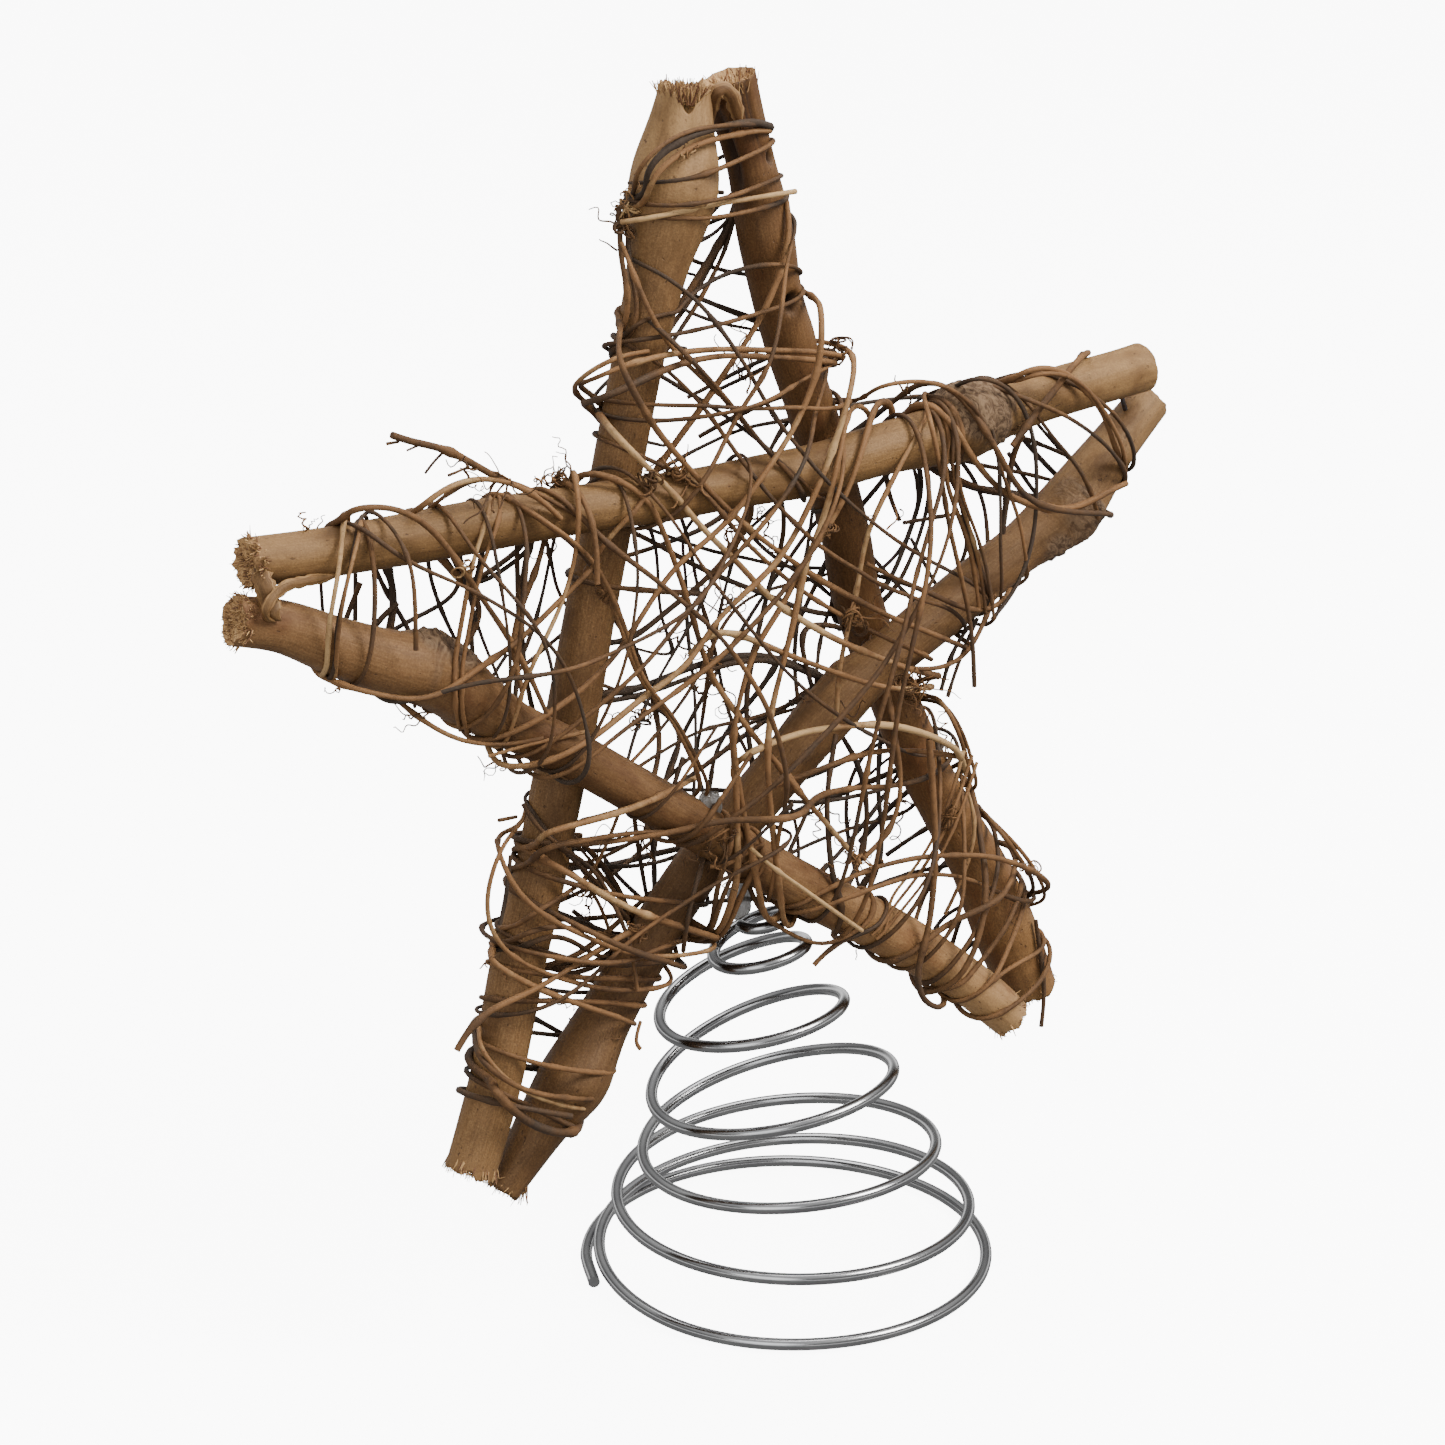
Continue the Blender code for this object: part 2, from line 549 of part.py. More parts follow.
def build():
    for obj in list(bpy.data.objects):
        bpy.data.objects.remove(obj, do_unlink=True)
    rng = np.random.default_rng(21)
    sticks = make_sticks()
    for key, stick in sticks.items():
        wood = material("wood_" + key.lower(), (0.30, 0.18, 0.09), 0.7)
        add_solid(stick.name, in_world(stick_rings(stick, rng)), wood)
    steel = material("nail_steel", (0.20, 0.20, 0.22), 0.4, 1.0)
    add_solid("tip_nail", in_world(nail_rings(sticks["C"], sticks["E"])), steel)
    rings, path = spring_rings()
    add_solid("spring", rings, material("spring_steel", (0.45, 0.45, 0.46), 0.3, 1.0))
    one, two = sticks["D"], sticks["E"]
    flat = np.linalg.norm(one.points[:, None, :2] - two.points[None, :, :2], axis=2)
    i, j = np.unravel_index(np.argmin(flat), flat.shape)
    crossing = (in_world(one.points[i]) + in_world(two.points[j])) / 2.0 / MM
    under = crossing - np.array([0.0, 0.0, (one.radius[i] + two.radius[j]) / 2.0 / math.cos(0.65) + GAP])
    under = np.array([path[-1][0] * 0.5 + under[0] * 0.5, path[-1][1] * 0.5 + under[1] * 0.5, under[2]])
    glue = glue_rings(path[-1], under)
    add_solid("glue_lump", glue, material("glue", (0.75, 0.70, 0.62), 0.25))
    lump = np.linspace(path[-1] + [0.0, 0.0, WIRE_R], under, 6)
    coil = path[path[:, 2] > 60.0]
    wire = np.concatenate([coil, lump])
    wire = (wire - ORIGIN) @ AXES.T
    wire_room = np.r_[np.full(len(coil), WIRE_R), np.full(len(lump), GLUE_R)]
    for (name, radius, _, _), line in zip(VINES, lay_vines(sticks, wire, wire_room)):
        line = few_points(line, CHORD_ERROR, CHORD_MAX)
        radii = np.full(len(line), radius)
        radii[0] = radii[-1] = radius * 0.75
        rings = rings_about(line, np.array([0.3, 0.2, 1.0]), VINE_SIDES, radii)
        add_solid(name, in_world(rings), material("bark_" + name[-2:], (0.36, 0.20, 0.10), 0.75))
    solids = [obj for obj in bpy.data.objects if obj.type == "MESH"]
    every = np.concatenate([np.array([v.co[:] for v in obj.data.vertices]) for obj in solids])
    low, high = every.min(axis=0), every.max(axis=0)
    shift = -np.array([(low[0] + high[0]) / 2.0, (low[1] + high[1]) / 2.0, low[2]])
    for obj in solids:
        for vertex in obj.data.vertices:
            vertex.co = (np.array(vertex.co[:]) + shift).tolist()


build()
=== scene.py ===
"""Looks of a rustic star tree topper: five peeled sticks wound with dried vines, on a wire spring.

All sizes are in metres in the model's own frame: +Z up, the star's front facing -Y. A place that
is written as two numbers with a comma is a point of the 1445 by 1445 photograph.
"""

import math

import bmesh
import bpy
import numpy as np
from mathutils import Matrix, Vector, noise


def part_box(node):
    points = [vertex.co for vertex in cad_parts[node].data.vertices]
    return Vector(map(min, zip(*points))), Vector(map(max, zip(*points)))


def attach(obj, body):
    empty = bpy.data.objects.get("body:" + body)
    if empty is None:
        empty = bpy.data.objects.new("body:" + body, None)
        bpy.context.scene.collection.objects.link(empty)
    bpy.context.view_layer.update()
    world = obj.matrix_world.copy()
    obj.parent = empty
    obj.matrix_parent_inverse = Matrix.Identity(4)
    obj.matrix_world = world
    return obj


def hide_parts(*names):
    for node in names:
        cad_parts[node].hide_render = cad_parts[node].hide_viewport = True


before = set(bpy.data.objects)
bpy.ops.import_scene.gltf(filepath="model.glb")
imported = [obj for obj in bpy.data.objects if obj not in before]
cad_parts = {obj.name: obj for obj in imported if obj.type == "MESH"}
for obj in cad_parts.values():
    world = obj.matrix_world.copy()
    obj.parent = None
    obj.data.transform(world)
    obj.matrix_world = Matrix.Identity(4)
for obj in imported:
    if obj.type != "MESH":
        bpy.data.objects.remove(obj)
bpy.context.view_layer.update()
MM = 0.001


# The view: the topper stands on a pale floor, seen a little from above and from its left through
# a long lens. The star's own plane, which leans back a few degrees, is what photo points fall on.
PHOTO_SIZE = 1445.0
FIELD_OF_VIEW = math.radians(20.48)
AZIMUTH = math.radians(-35.9)
ELEVATION = math.radians(20.2)
DISTANCE = 0.829
spring_low, spring_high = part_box("spring")
FOOT = np.array([(spring_low.x + spring_high.x) / 2, (spring_low.y + spring_high.y) / 2, 0.0])
TARGET = FOOT + np.array([-0.018, 0.0, 0.129])
BACK = np.array([
    math.sin(AZIMUTH) * math.cos(ELEVATION),
    -math.cos(AZIMUTH) * math.cos(ELEVATION),
    math.sin(ELEVATION),
])
RIGHT = np.array([math.cos(AZIMUTH), math.sin(AZIMUTH), 0.0])
UP = np.cross(BACK, RIGHT)
EYE = TARGET + BACK * DISTANCE

SENSOR = 36.0
camera_data = bpy.data.cameras.new("camera")
camera_data.sensor_width = SENSOR
camera_data.lens = SENSOR / 2 / math.tan(FIELD_OF_VIEW / 2)
camera_data.clip_start = 0.05
camera_data.clip_end = 80.0
camera = bpy.data.objects.new("camera", camera_data)
bpy.context.scene.collection.objects.link(camera)
camera.location = EYE
camera.rotation_mode = "QUATERNION"
camera.rotation_quaternion = (-Vector(BACK)).to_track_quat("-Z", "Y")
bpy.context.scene.camera = camera

STAR_MIDDLE = FOOT + np.array([-6.0, 9.7, 138.6]) * MM
STAR_LEAN = math.radians(4.1)
STAR_REAR = np.array([0.0, math.cos(STAR_LEAN), -math.sin(STAR_LEAN)])


def sight(place):
    """Direction from the camera through a point of the photograph."""
    across, down = np.asarray(place, float) - PHOTO_SIZE / 2
    slope = math.tan(FIELD_OF_VIEW / 2) / (PHOTO_SIZE / 2)
    way = RIGHT * across * slope - UP * down * slope - BACK
    return way / np.linalg.norm(way)


def seen_at(place, depth):
    """The point that is seen at a place of the photograph, this far behind the star's plane."""
    way = sight(place)
    start = STAR_MIDDLE + STAR_REAR * depth
    return EYE + way * ((start - EYE) @ STAR_REAR) / (way @ STAR_REAR)


LIGHT_AIM = Vector((0.0, 0.0, 0.14))


def add_light(name, place, size, power, colour):
    """A round soft light that shines on the middle of the star."""
    lamp = bpy.data.lights.new(name, "AREA")
    lamp.shape = "DISK"
    lamp.size = size
    lamp.energy = power
    lamp.color = colour
    obj = bpy.data.objects.new(name, lamp)
    bpy.context.scene.collection.objects.link(obj)
    obj.location = place
    obj.rotation_mode = "QUATERNION"
    obj.rotation_quaternion = (LIGHT_AIM - Vector(place)).to_track_quat("-Z", "Y")


add_light("key_light", (0.75, -0.90, 1.40), 0.9, 60.0, (1.0, 0.985, 0.96))
add_light("fill_light", (-1.2, -1.0, 0.8), 1.2, 12.0, (0.97, 0.985, 1.0))
add_light("top_light", (0.1, 0.4, 1.5), 1.0, 14.0, (1.0, 1.0, 1.0))

# How bright the studio is from straight below, 0, to straight above, 1: grey underneath, a bright
# strip at eye level, a dark gap above it and a soft ceiling
STUDIO_BANDS = (
    (0.02, 0.21), (0.47, 0.21), (0.485, 1.0), (0.55, 1.0), (0.60, 0.12), (0.68, 0.12), (0.9, 0.55))
STUDIO_STRENGTH = 2.2
world = bpy.data.worlds.new("studio")
bpy.context.scene.world = world
world.use_nodes = True
sky = world.node_tree
towards = sky.nodes.new("ShaderNodeTexCoord")
parts = sky.nodes.new("ShaderNodeSeparateXYZ")
height = sky.nodes.new("ShaderNodeMapRange")
height.inputs["From Min"].default_value = -1.0
bands = sky.nodes.new("ShaderNodeValToRGB")
sky.links.new(towards.outputs["Generated"], parts.inputs[0])
sky.links.new(parts.outputs["Z"], height.inputs["Value"])
sky.links.new(height.outputs["Result"], bands.inputs["Fac"])
sky.links.new(bands.outputs["Color"], sky.nodes["Background"].inputs["Color"])
stops = bands.color_ramp.elements
for place, level in STUDIO_BANDS:
    stops.new(place).color = (level, level, level, 1.0)
stops.remove(stops[0])
stops.remove(stops[-1])
sky.nodes["Background"].inputs["Strength"].default_value = STUDIO_STRENGTH


class Value:
    """A shader number. Arithmetic on it adds Math nodes to its material."""

    def __init__(self, finish, socket):
        self.finish = finish
        self.socket = socket

    def maths(self, operation, first, second):
        return self.finish.add("ShaderNodeMath", {"operation": operation}, {0: first, 1: second})

    def __add__(self, other):
        return self.maths("ADD", self, other)

    __radd__ = __add__

    def __sub__(self, other):
        return self.maths("SUBTRACT", self, other)

    def __rsub__(self, other):
        return self.maths("SUBTRACT", other, self)

    def __mul__(self, other):
        return self.maths("MULTIPLY", self, other)

    __rmul__ = __mul__

    def step(self, low, high):
        """0 below low, 1 above high and a smooth ramp between."""
        return self.finish.add(
            "ShaderNodeMapRange", {"interpolation_type": "SMOOTHSTEP"},
            {"Value": self, "From Min": low, "From Max": high})


class Finish:
    """A material that is being built, with one way to add any node to it."""

    def __init__(self, name, colour, roughness, metallic=0.0):
        self.material = bpy.data.materials.new(name)
        self.material.use_nodes = True
        self.material.diffuse_color = (*colour, 1.0)
        self.tree = self.material.node_tree
        self.surface = self.tree.nodes["Principled BSDF"]
        self.put("Base Color", (*colour, 1.0))
        self.put("Roughness", roughness)
        self.put("Metallic", metallic)

    def put(self, socket, value):
        """Sets or links one socket of the surface."""
        self.feed(self.surface.inputs[socket], value)

    def feed(self, socket, value):
        """Links a worked-out value to a socket, or sets the socket to a plain one."""
        if isinstance(value, Value):
            self.tree.links.new(value.socket, socket)
        else:
            socket.default_value = value

    def add(self, kind, settings, sockets, out=0):
        """Any node: its settings first, then its sockets. Gives one of its outputs."""
        node = self.tree.nodes.new(kind)
        for key, value in settings.items():
            setattr(node, key, value)
        for key, value in sockets.items():
            self.feed(node.inputs[key], value)
        return Value(self, node.outputs[out])

    def attribute(self, name, out="Fac"):
        """What the mesh says at each point under this name."""
        return self.add("ShaderNodeAttribute", {"attribute_name": name}, {}, out)

    def stretched(self, vector, scale):
        """A place scaled along each axis. Less than 1 draws a pattern out along that axis."""
        return self.add("ShaderNodeMapping", {}, {"Vector": vector, "Scale": scale})

    def noise(self, vector, scale, detail=3.0, rough=0.55):
        """Soft noise from 0 to 1. The scale is how many of its lumps fit in a metre."""
        return self.add(
            "ShaderNodeTexNoise", {},
            {"Vector": vector, "Scale": scale, "Detail": detail, "Roughness": rough})

    def mix(self, amount, first, second):
        """Colour from the first to the second as the amount goes from 0 to 1."""
        first = first if isinstance(first, Value) else (*first, 1.0)
        second = second if isinstance(second, Value) else (*second, 1.0)
        return self.add(
            "ShaderNodeMix", {"data_type": "RGBA"},
            {"Factor": amount, 6: first, 7: second}, 2)

    def darkened(self, amount, colour, stain):
        """The colour multiplied by a darker colour, as far as the amount says."""
        return self.add(
            "ShaderNodeMix", {"data_type": "RGBA", "blend_type": "MULTIPLY"},
            {"Factor": amount, 6: colour, 7: (*stain, 1.0)}, 2)

    def bump(self, height, distance):
        """Low relief: 0 to 1 of height stands for this distance."""
        self.put("Normal", self.add(
            "ShaderNodeBump", {}, {"Height": height, "Distance": distance, "Strength": 1.0}))


# The floor glows so that it stays as pale as the photo's, but throws no light on the piece
FLOOR_HALF = 20.0
FLOOR_DROP = 0.4 * MM
FLOOR_GLOW = 9.0
floor_finish = Finish("pale_floor", (0.50, 0.50, 0.50), 0.9)
floor_finish.put("Emission Color", (1.0, 1.0, 1.0, 1.0))
floor_finish.put("Emission Strength", FLOOR_GLOW)
floor_mesh = bpy.data.meshes.new("floor")
floor_corners = [
    (x * FLOOR_HALF, y * FLOOR_HALF, -FLOOR_DROP) for x, y in ((-1, -1), (1, -1), (1, 1), (-1, 1))]
floor_mesh.from_pydata(floor_corners, [], [(0, 1, 2, 3)])
floor_mesh.materials.append(floor_finish.material)
floor = bpy.data.objects.new("floor", floor_mesh)
bpy.context.scene.collection.objects.link(floor)
floor.visible_diffuse = False
floor.visible_glossy = False


# The sticks: five dry twigs with the bark peeled off, broken or torn at their ends, nailed and
# glued where they cross. Their wood is tan with a fine grain, darker pores and a few rough knots.
STICK_SIDES = 56
STICK_STEP = 0.7 * MM
SAME_POINT = 2e-6


def rings_of(node, starts_at):
    """Ring centres and mean radii of a tube-shaped solid, from the end nearest a given point."""
    solid = bmesh.new()
    solid.from_mesh(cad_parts[node].data)
    bmesh.ops.remove_doubles(solid, verts=solid.verts, dist=SAME_POINT)
    solid.verts.index_update()
    places = np.array([v.co[:] for v in solid.verts])
    joined = [sorted(e.other_vert(v).index for e in v.link_edges) for v in solid.verts]
    solid.free()

    def levels(start):
        """Sets of points that are one, two, three and more edges away from the start."""
        seen = set(start)
        found = [sorted(start)]
        while found[-1]:
            reached = {k for v in found[-1] for k in joined[v]} - seen
            seen |= reached
            found.append(sorted(reached))
        return found[:-1]

    far = levels([0])[-1][0]
    reach = 1.5 * min(np.linalg.norm(places[k] - places[far]) for k in joined[far])
    ring = {far}
    grown = [far]
    while grown:
        v = grown.pop()
        for k in joined[v]:
            if k not in ring and np.linalg.norm(places[k] - places[v]) < reach:
                ring.add(k)
                grown.append(k)
    rings = levels(ring)
    centres = np.array([places[r].mean(axis=0) for r in rings])
    radii = np.array([np.linalg.norm(places[r] - c, axis=1).mean() for r, c in zip(rings, centres)])
    starts_at = np.asarray(starts_at, float)
    if np.linalg.norm(centres[-1] - starts_at) < np.linalg.norm(centres[0] - starts_at):
        return centres[::-1], radii[::-1]
    return centres, radii


def unit(v):
    """One vector or many, each made one long."""
    v = np.asarray(v, float)
    return v / np.maximum(np.linalg.norm(v, axis=-1, keepdims=True), 1e-12)


def lengths_along(points):
    """How far along a line each of its points lies."""
    return np.r_[0.0, np.cumsum(np.linalg.norm(np.diff(points, axis=0), axis=1))]


def flowing(points, step, *carried):
    """A smooth curve through points, in even steps, with other values carried along it."""
    at = lengths_along(points)
    rows = np.column_stack([points, *carried])
    gaps = np.diff(at)[:, None]
    rise = np.diff(rows, axis=0) / gaps
    between = (rise[:-1] * gaps[1:] + rise[1:] * gaps[:-1]) / (gaps[1:] + gaps[:-1])
    slope = np.vstack([rise[:1], between, rise[-1:]])
    count = max(int(round(at[-1] / step)), 4)
    s = np.linspace(0.0, at[-1], count + 1)
    i = np.clip(np.searchsorted(at, s, "right") - 1, 0, len(at) - 2)
    h = gaps[i]
    t = (s[:, None] - at[i][:, None]) / h
    curve = (1 + 2 * t) * (1 - t) ** 2 * rows[i] + t * (1 - t) ** 2 * h * slope[i]
    curve += t * t * (3 - 2 * t) * rows[i + 1] + t * t * (t - 1) * h * slope[i + 1]
    if carried:
        return curve[:, :3], *(curve[:, 3 + k] for k in range(len(carried)))
    return curve


class Stick:
    """Centre-line, radius and ring directions of a stick, in steps along it."""

    def __init__(self, node, starts_at):
        centres, radii = rings_of(node, starts_at)
        self.node = node
        self.centre, self.radius = flowing(centres, STICK_STEP, radii)
        self.along = lengths_along(self.centre)
        self.axis = unit(np.gradient(self.centre, axis=0))
        self.front = unit(-STAR_REAR - self.axis * (self.axis @ -STAR_REAR)[:, None])
        self.side = np.cross(self.axis, self.front)

    def seen(self, place):
        """Distance along and angle round the stick of the surface seen at a photo point."""
        way = sight(place)
        reach = self.centre - EYE
        off = reach - (reach @ way)[:, None] * way
        i = np.linalg.norm(off, axis=1).argmin()
        deep = math.sqrt(max(self.radius[i] ** 2 - (off[i] ** 2).sum(), 0.0))
        hit = -off[i] - way * deep
        return self.along[i], math.atan2(hit @ self.side[i], hit @ self.front[i])


sticks = {
    "A": Stick("stick_top_to_lower_left", (0.0, 0.0, 0.26)),
    "B": Stick("stick_top_to_lower_right", (0.0, 0.0, 0.26)),
    "C": Stick("stick_left_to_right", (-0.12, 0.0, 0.18)),
    "D": Stick("stick_left_to_lower_right", (-0.12, 0.0, 0.18)),
    "E": Stick("stick_right_to_lower_left", (0.12, 0.0, 0.18)),
}

# What stands out on each stick: the photo point, how high it stands and how far it reaches along
# and round the stick, all in mm, how dark it is painted, which in dents, holes and splits is
# painted shade, and how rough with old bark it is, from 0 to 1
MARKS = {
    "A": (
        (645, 150, 1.5, 10.0, 6.0, 0.0, 0.0), (712, 165, 1.5, 9.0, 6.0, 0.0, 0.0),
        (675, 165, 0.8, 9.0, 7.0, 0.0, 0.0), (692, 188, 0.9, 5.0, 5.0, 0.0, 0.15),
        (640, 232, 0.5, 5.0, 4.0, 0.0, 0.1), (604, 560, 0.3, 6.0, 5.0, 0.0, 0.0),
        (583, 690, 0.35, 7.0, 4.0, 0.0, 0.0), (500, 1050, 0.4, 5.0, 5.0, 0.0, 0.1),
        (708, 176, -0.6, 2.0, 1.6, 0.35, 0.2),
    ),
    "B": (
        (789, 296, -4.2, 1.5, 1.3, 1.0, 0.0), (793, 293, -3.0, 1.0, 1.2, 1.0, 0.0),
        (770, 155, -3.0, 1.1, 0.9, 1.0, 0.0), (728, 150, -2.2, 9.0, 1.9, 0.75, 0.0),
        (741, 92, -0.8, 7.0, 0.35, 0.7, 0.0), (748, 100, -0.8, 8.0, 0.3, 0.7, 0.0),
        (1001, 924, 0.8, 5.0, 6.0, 0.0, 0.1), (770, 240, 0.5, 5.0, 5.0, 0.0, 0.0),
        (862, 600, 0.4, 6.0, 5.0, 0.0, 0.0), (812, 330, 0.4, 5.0, 4.0, 0.0, 0.0),
    ),
    "C": (
        (964, 402, 2.1, 6.5, 6.5, 0.1, 1.0), (982, 424, 1.4, 2.4, 5.0, 0.2, 1.0),
        (945, 396, 0.7, 2.5, 4.0, 0.1, 0.9), (990, 395, 0.9, 1.5, 4.5, 0.2, 1.0),
        (955, 425, 0.5, 4.0, 3.0, 0.05, 0.9),
        (700, 490, 0.3, 7.0, 4.0, 0.0, 0.0), (480, 520, 0.25, 8.0, 5.0, 0.0, 0.0),
        (1015, 405, -0.5, 2.5, 3.0, 0.15, 0.2),
    ),
    "D": (
        (432, 634, 0.9, 4.0, 3.6, 0.12, 1.0), (447, 645, 0.6, 4.0, 3.0, 0.1, 0.7),
        (449, 643, -4.5, 1.7, 1.4, 1.0, 0.0), (420, 660, 0.4, 1.0, 5.0, 0.1, 0.3),
        (470, 690, 0.4, 4.0, 4.0, 0.0, 0.0), (505, 722, -0.5, 2.0, 4.0, 0.25, 0.2),
        (560, 748, 0.4, 5.0, 4.0, 0.0, 0.1), (905, 945, 0.5, 5.0, 4.0, 0.0, 0.1),
    ),
    "E": (
        (1075, 528, 2.4, 4.5, 5.0, 0.05, 0.5), (1086, 508, 1.2, 1.2, 4.0, 0.25, 0.8),
        (1052, 552, 1.2, 4.0, 3.5, 0.1, 0.6), (1062, 500, 0.5, 4.0, 3.0, 0.0, 0.4),
        (592, 1092, 2.2, 9.0, 6.0, 0.0, 0.1), (835, 668, 1.1, 3.5, 4.0, 0.05, 0.2),
        (820, 690, -0.4, 6.0, 0.6, 0.35, 0.1), (805, 757, 0.5, 2.6, 1.6, 0.0, 0.3),
        (805, 757, -0.9, 2.0, 0.5, 0.6, 0.2), (560, 1080, 0.8, 4.0, 4.0, 0.0, 0.1),
        (900, 640, 0.3, 6.0, 4.0, 0.0, 0.0),
    ),
}

# How each stick is darkened along its length, partly by wear and partly with painted shade where the
# vines and the other sticks shade it: the photo point, and how much darker and warmer its wood is made
# there, from 0 to 1
WEAR_AND_SHADE = {
    "A": ((672, 110, 0.0), (672, 190, 0.1), (645, 270, 0.3), (620, 400, 0.36), (606, 560, 0.32),
          (560, 770, 0.34), (510, 980, 0.2), (472, 1150, 0.15)),
    "B": ((735, 90, 0.5), (760, 180, 0.5), (800, 330, 0.36), (860, 540, 0.62), (935, 780, 0.1),
          (1010, 970, 0.0)),
    "C": ((250, 565, 0.15), (440, 532, 0.3), (640, 500, 0.25), (860, 450, 0.15),
          (990, 410, 0.15), (1140, 362, 0.05)),
    "D": ((235, 615, 0.4), (400, 665, 0.5), (540, 730, 0.75), (700, 830, 0.72), (880, 930, 0.0),
          (1010, 1005, 0.0)),
    "E": ((1150, 400, 0.0), (1050, 530, 0.15), (930, 620, 0.15), (820, 700, 0.15),
          (700, 850, 0.55), (600, 1000, 0.5), (510, 1180, 0.45)),
}

# How each end is broken, first end then last: how ragged, how far its heart is hollowed and how
# much it is drawn out, all in mm, and how pale its wood is made, partly paler wood and partly
# painted light where the vines shade the end less
ENDS = {
    "A": ((1.7, 2.5, 1.4, 0.8), (1.8, 1.5, -4.0, 0.2)),
    "B": ((0.5, 1.5, -2.4, 0.0), (1.6, 1.0, -1.6, 0.5)),
    "C": ((1.5, 0.5, -0.6, 0.1), (0.25, -0.9, -2.3, 0.5)),
    "D": ((1.3, 0.6, -1.4, 0.0), (1.5, 0.8, -2.3, 0.7)),
    "E": ((0.5, -0.3, -2.4, 0.6), (1.1, 3.5, -1.8, 0.0)),
}

# A notch torn in an end: the photo point it faces, its depth in mm and half its width in radians
NOTCH = {"A": ((690, 104), 6.0, 0.8)}

# The rings that close an end: their share of the rim's width and of the hollow's depth
CLOSING = ((0.95, 0.12), (0.88, 0.55), (0.68, 0.85), (0.42, 1.0), (0.18, 1.0))

# How far from an end the tears and its paler wood and painted light reach
TEAR_REACH = 14 * MM
PALE_LIGHT_REACH = 26 * MM

# The grain's radius in mm round a stick, and how far apart the sticks lie in their patterns
GRAIN_ROUND = 5.2
SKIN_SEED = 17.0
END_SEED = 31.0
STICK_TURN = 2 * math.pi * np.arange(STICK_SIDES) / STICK_SIDES


def turned_from(angle):
    """How far each side of a stick is turned from an angle, half a turn at most either way."""
    return (STICK_TURN - angle + math.pi) % (2 * math.pi) - math.pi


def stick_skin(key, stick):
    """Rings of surface points with their colour marks, before the ends are closed."""
    shape = stick.radius[:, None] * np.ones(STICK_SIDES)
    dark_and_pit_shade = np.zeros_like(shape)
    bark = np.zeros_like(shape)
    for x, y, high, long, wide, shade, rough in MARKS[key]:
        s, angle = stick.seen((x, y))
        along = (stick.along - s) / (long * MM)
        around = stick.radius.mean() * turned_from(angle) / (wide * MM)
        swell = np.exp(-(along ** 2)[:, None] - (around ** 2)[None])
        shape += high * MM * swell
        dark_and_pit_shade = np.maximum(dark_and_pit_shade, shade * np.clip(swell * 1.6, 0, 1))
        bark = np.maximum(bark, rough * np.clip(swell * 1.8, 0, 1))
    seed = SKIN_SEED * "ABCDE".index(key)
    # Broad lobes, fine flutes and, where old bark is left, a crust
    for i, s in enumerate(stick.along):
        for k, angle in enumerate(STICK_TURN):
            at = Vector((math.cos(angle) * 0.9 + seed, math.sin(angle) * 0.9, s * 38))
            lobes = noise.noise(at)
            flute = noise.noise(Vector((at.x * 5, at.y * 5, s * 30)))
            crust = noise.turbulence(Vector((at.x * 7, at.y * 7, s * 620)), 3, True)
            shape[i, k] += MM * (0.32 * lobes + 0.10 * flute + bark[i, k] * (1.2 * crust - 0.45))
    out = np.cos(STICK_TURN)[None, :, None] * stick.front[:, None]
    out = out + np.sin(STICK_TURN)[None, :, None] * stick.side[:, None]
    return stick.centre[:, None] + out * shape[..., None], dark_and_pit_shade, bark


def torn_end(key, stick, skin, end):
    """Tears one end of a skin, and gives the rings that close it, from the rim in, and their tip."""
    seed = END_SEED * "ABCDE".index(key)
    ragged, hollow, drawn, _ = ENDS[key][end]
    way = -stick.axis[0] if end == 0 else stick.axis[-1]
    reach = stick.along if end == 0 else stick.along[-1] - stick.along
    tear = np.array([
        noise.noise(Vector((math.cos(a) * 2.2 + seed, math.sin(a) * 2.2, end * 9)))
        + 0.5 * noise.noise(Vector((math.cos(a) * 7 + seed, math.sin(a) * 7, end * 9)))
        for a in STICK_TURN])
    tear = ragged * tear + drawn
    if end == 0 and key in NOTCH:
        place, depth, width = NOTCH[key]
        tear -= depth * np.clip(1 - np.abs(turned_from(stick.seen(place)[1])) / width, 0, 1)
    fade = np.clip(1 - reach / TEAR_REACH, 0, 1) ** 1.5
    skin += way * (fade[:, None] * tear * MM)[..., None]
    rim = skin[end]
    middle = rim.mean(axis=0)
    closing = []
    for share, drop in CLOSING:
        ring = middle + (rim - middle) * share
        wild = np.array([noise.noise(Vector((p[0], p[1], p[2])) * 900) for p in ring])
        closing.append(ring - way * MM * (hollow * drop + ragged * 0.45 * wild * drop)[:, None])
    return closing, middle - way * hollow * MM


def mark(mesh, name, values):
    """Stores one number at each point of a mesh, for its material to read."""
    data = mesh.attributes.new(name, "FLOAT", "POINT").data
    data.foreach_set("value", np.asarray(values, np.float32))


def mark_grain(mesh, grain):
    """Stores where each point lies in the wood's grain, with the third number along it."""
    data = mesh.attributes.new("grain", "FLOAT_VECTOR", "POINT").data
    data.foreach_set("vector", grain.ravel().astype(np.float32))


def face_outwards(mesh):
    """Turns the faces of a closed mesh outwards and shades them smoothly."""
    work = bmesh.new()
    work.from_mesh(mesh)
    bmesh.ops.recalc_face_normals(work, faces=work.faces)
    work.to_mesh(mesh)
    work.free()
    mesh.shade_smooth()


def add_piece(name, mesh, slot, *nodes):
    """Puts a mesh in the scene as a piece, in place of the solids that it stands for."""
    obj = bpy.data.objects.new(name, mesh)
    bpy.context.scene.collection.objects.link(obj)
    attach(obj, "root")
    if nodes:
        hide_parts(*nodes)


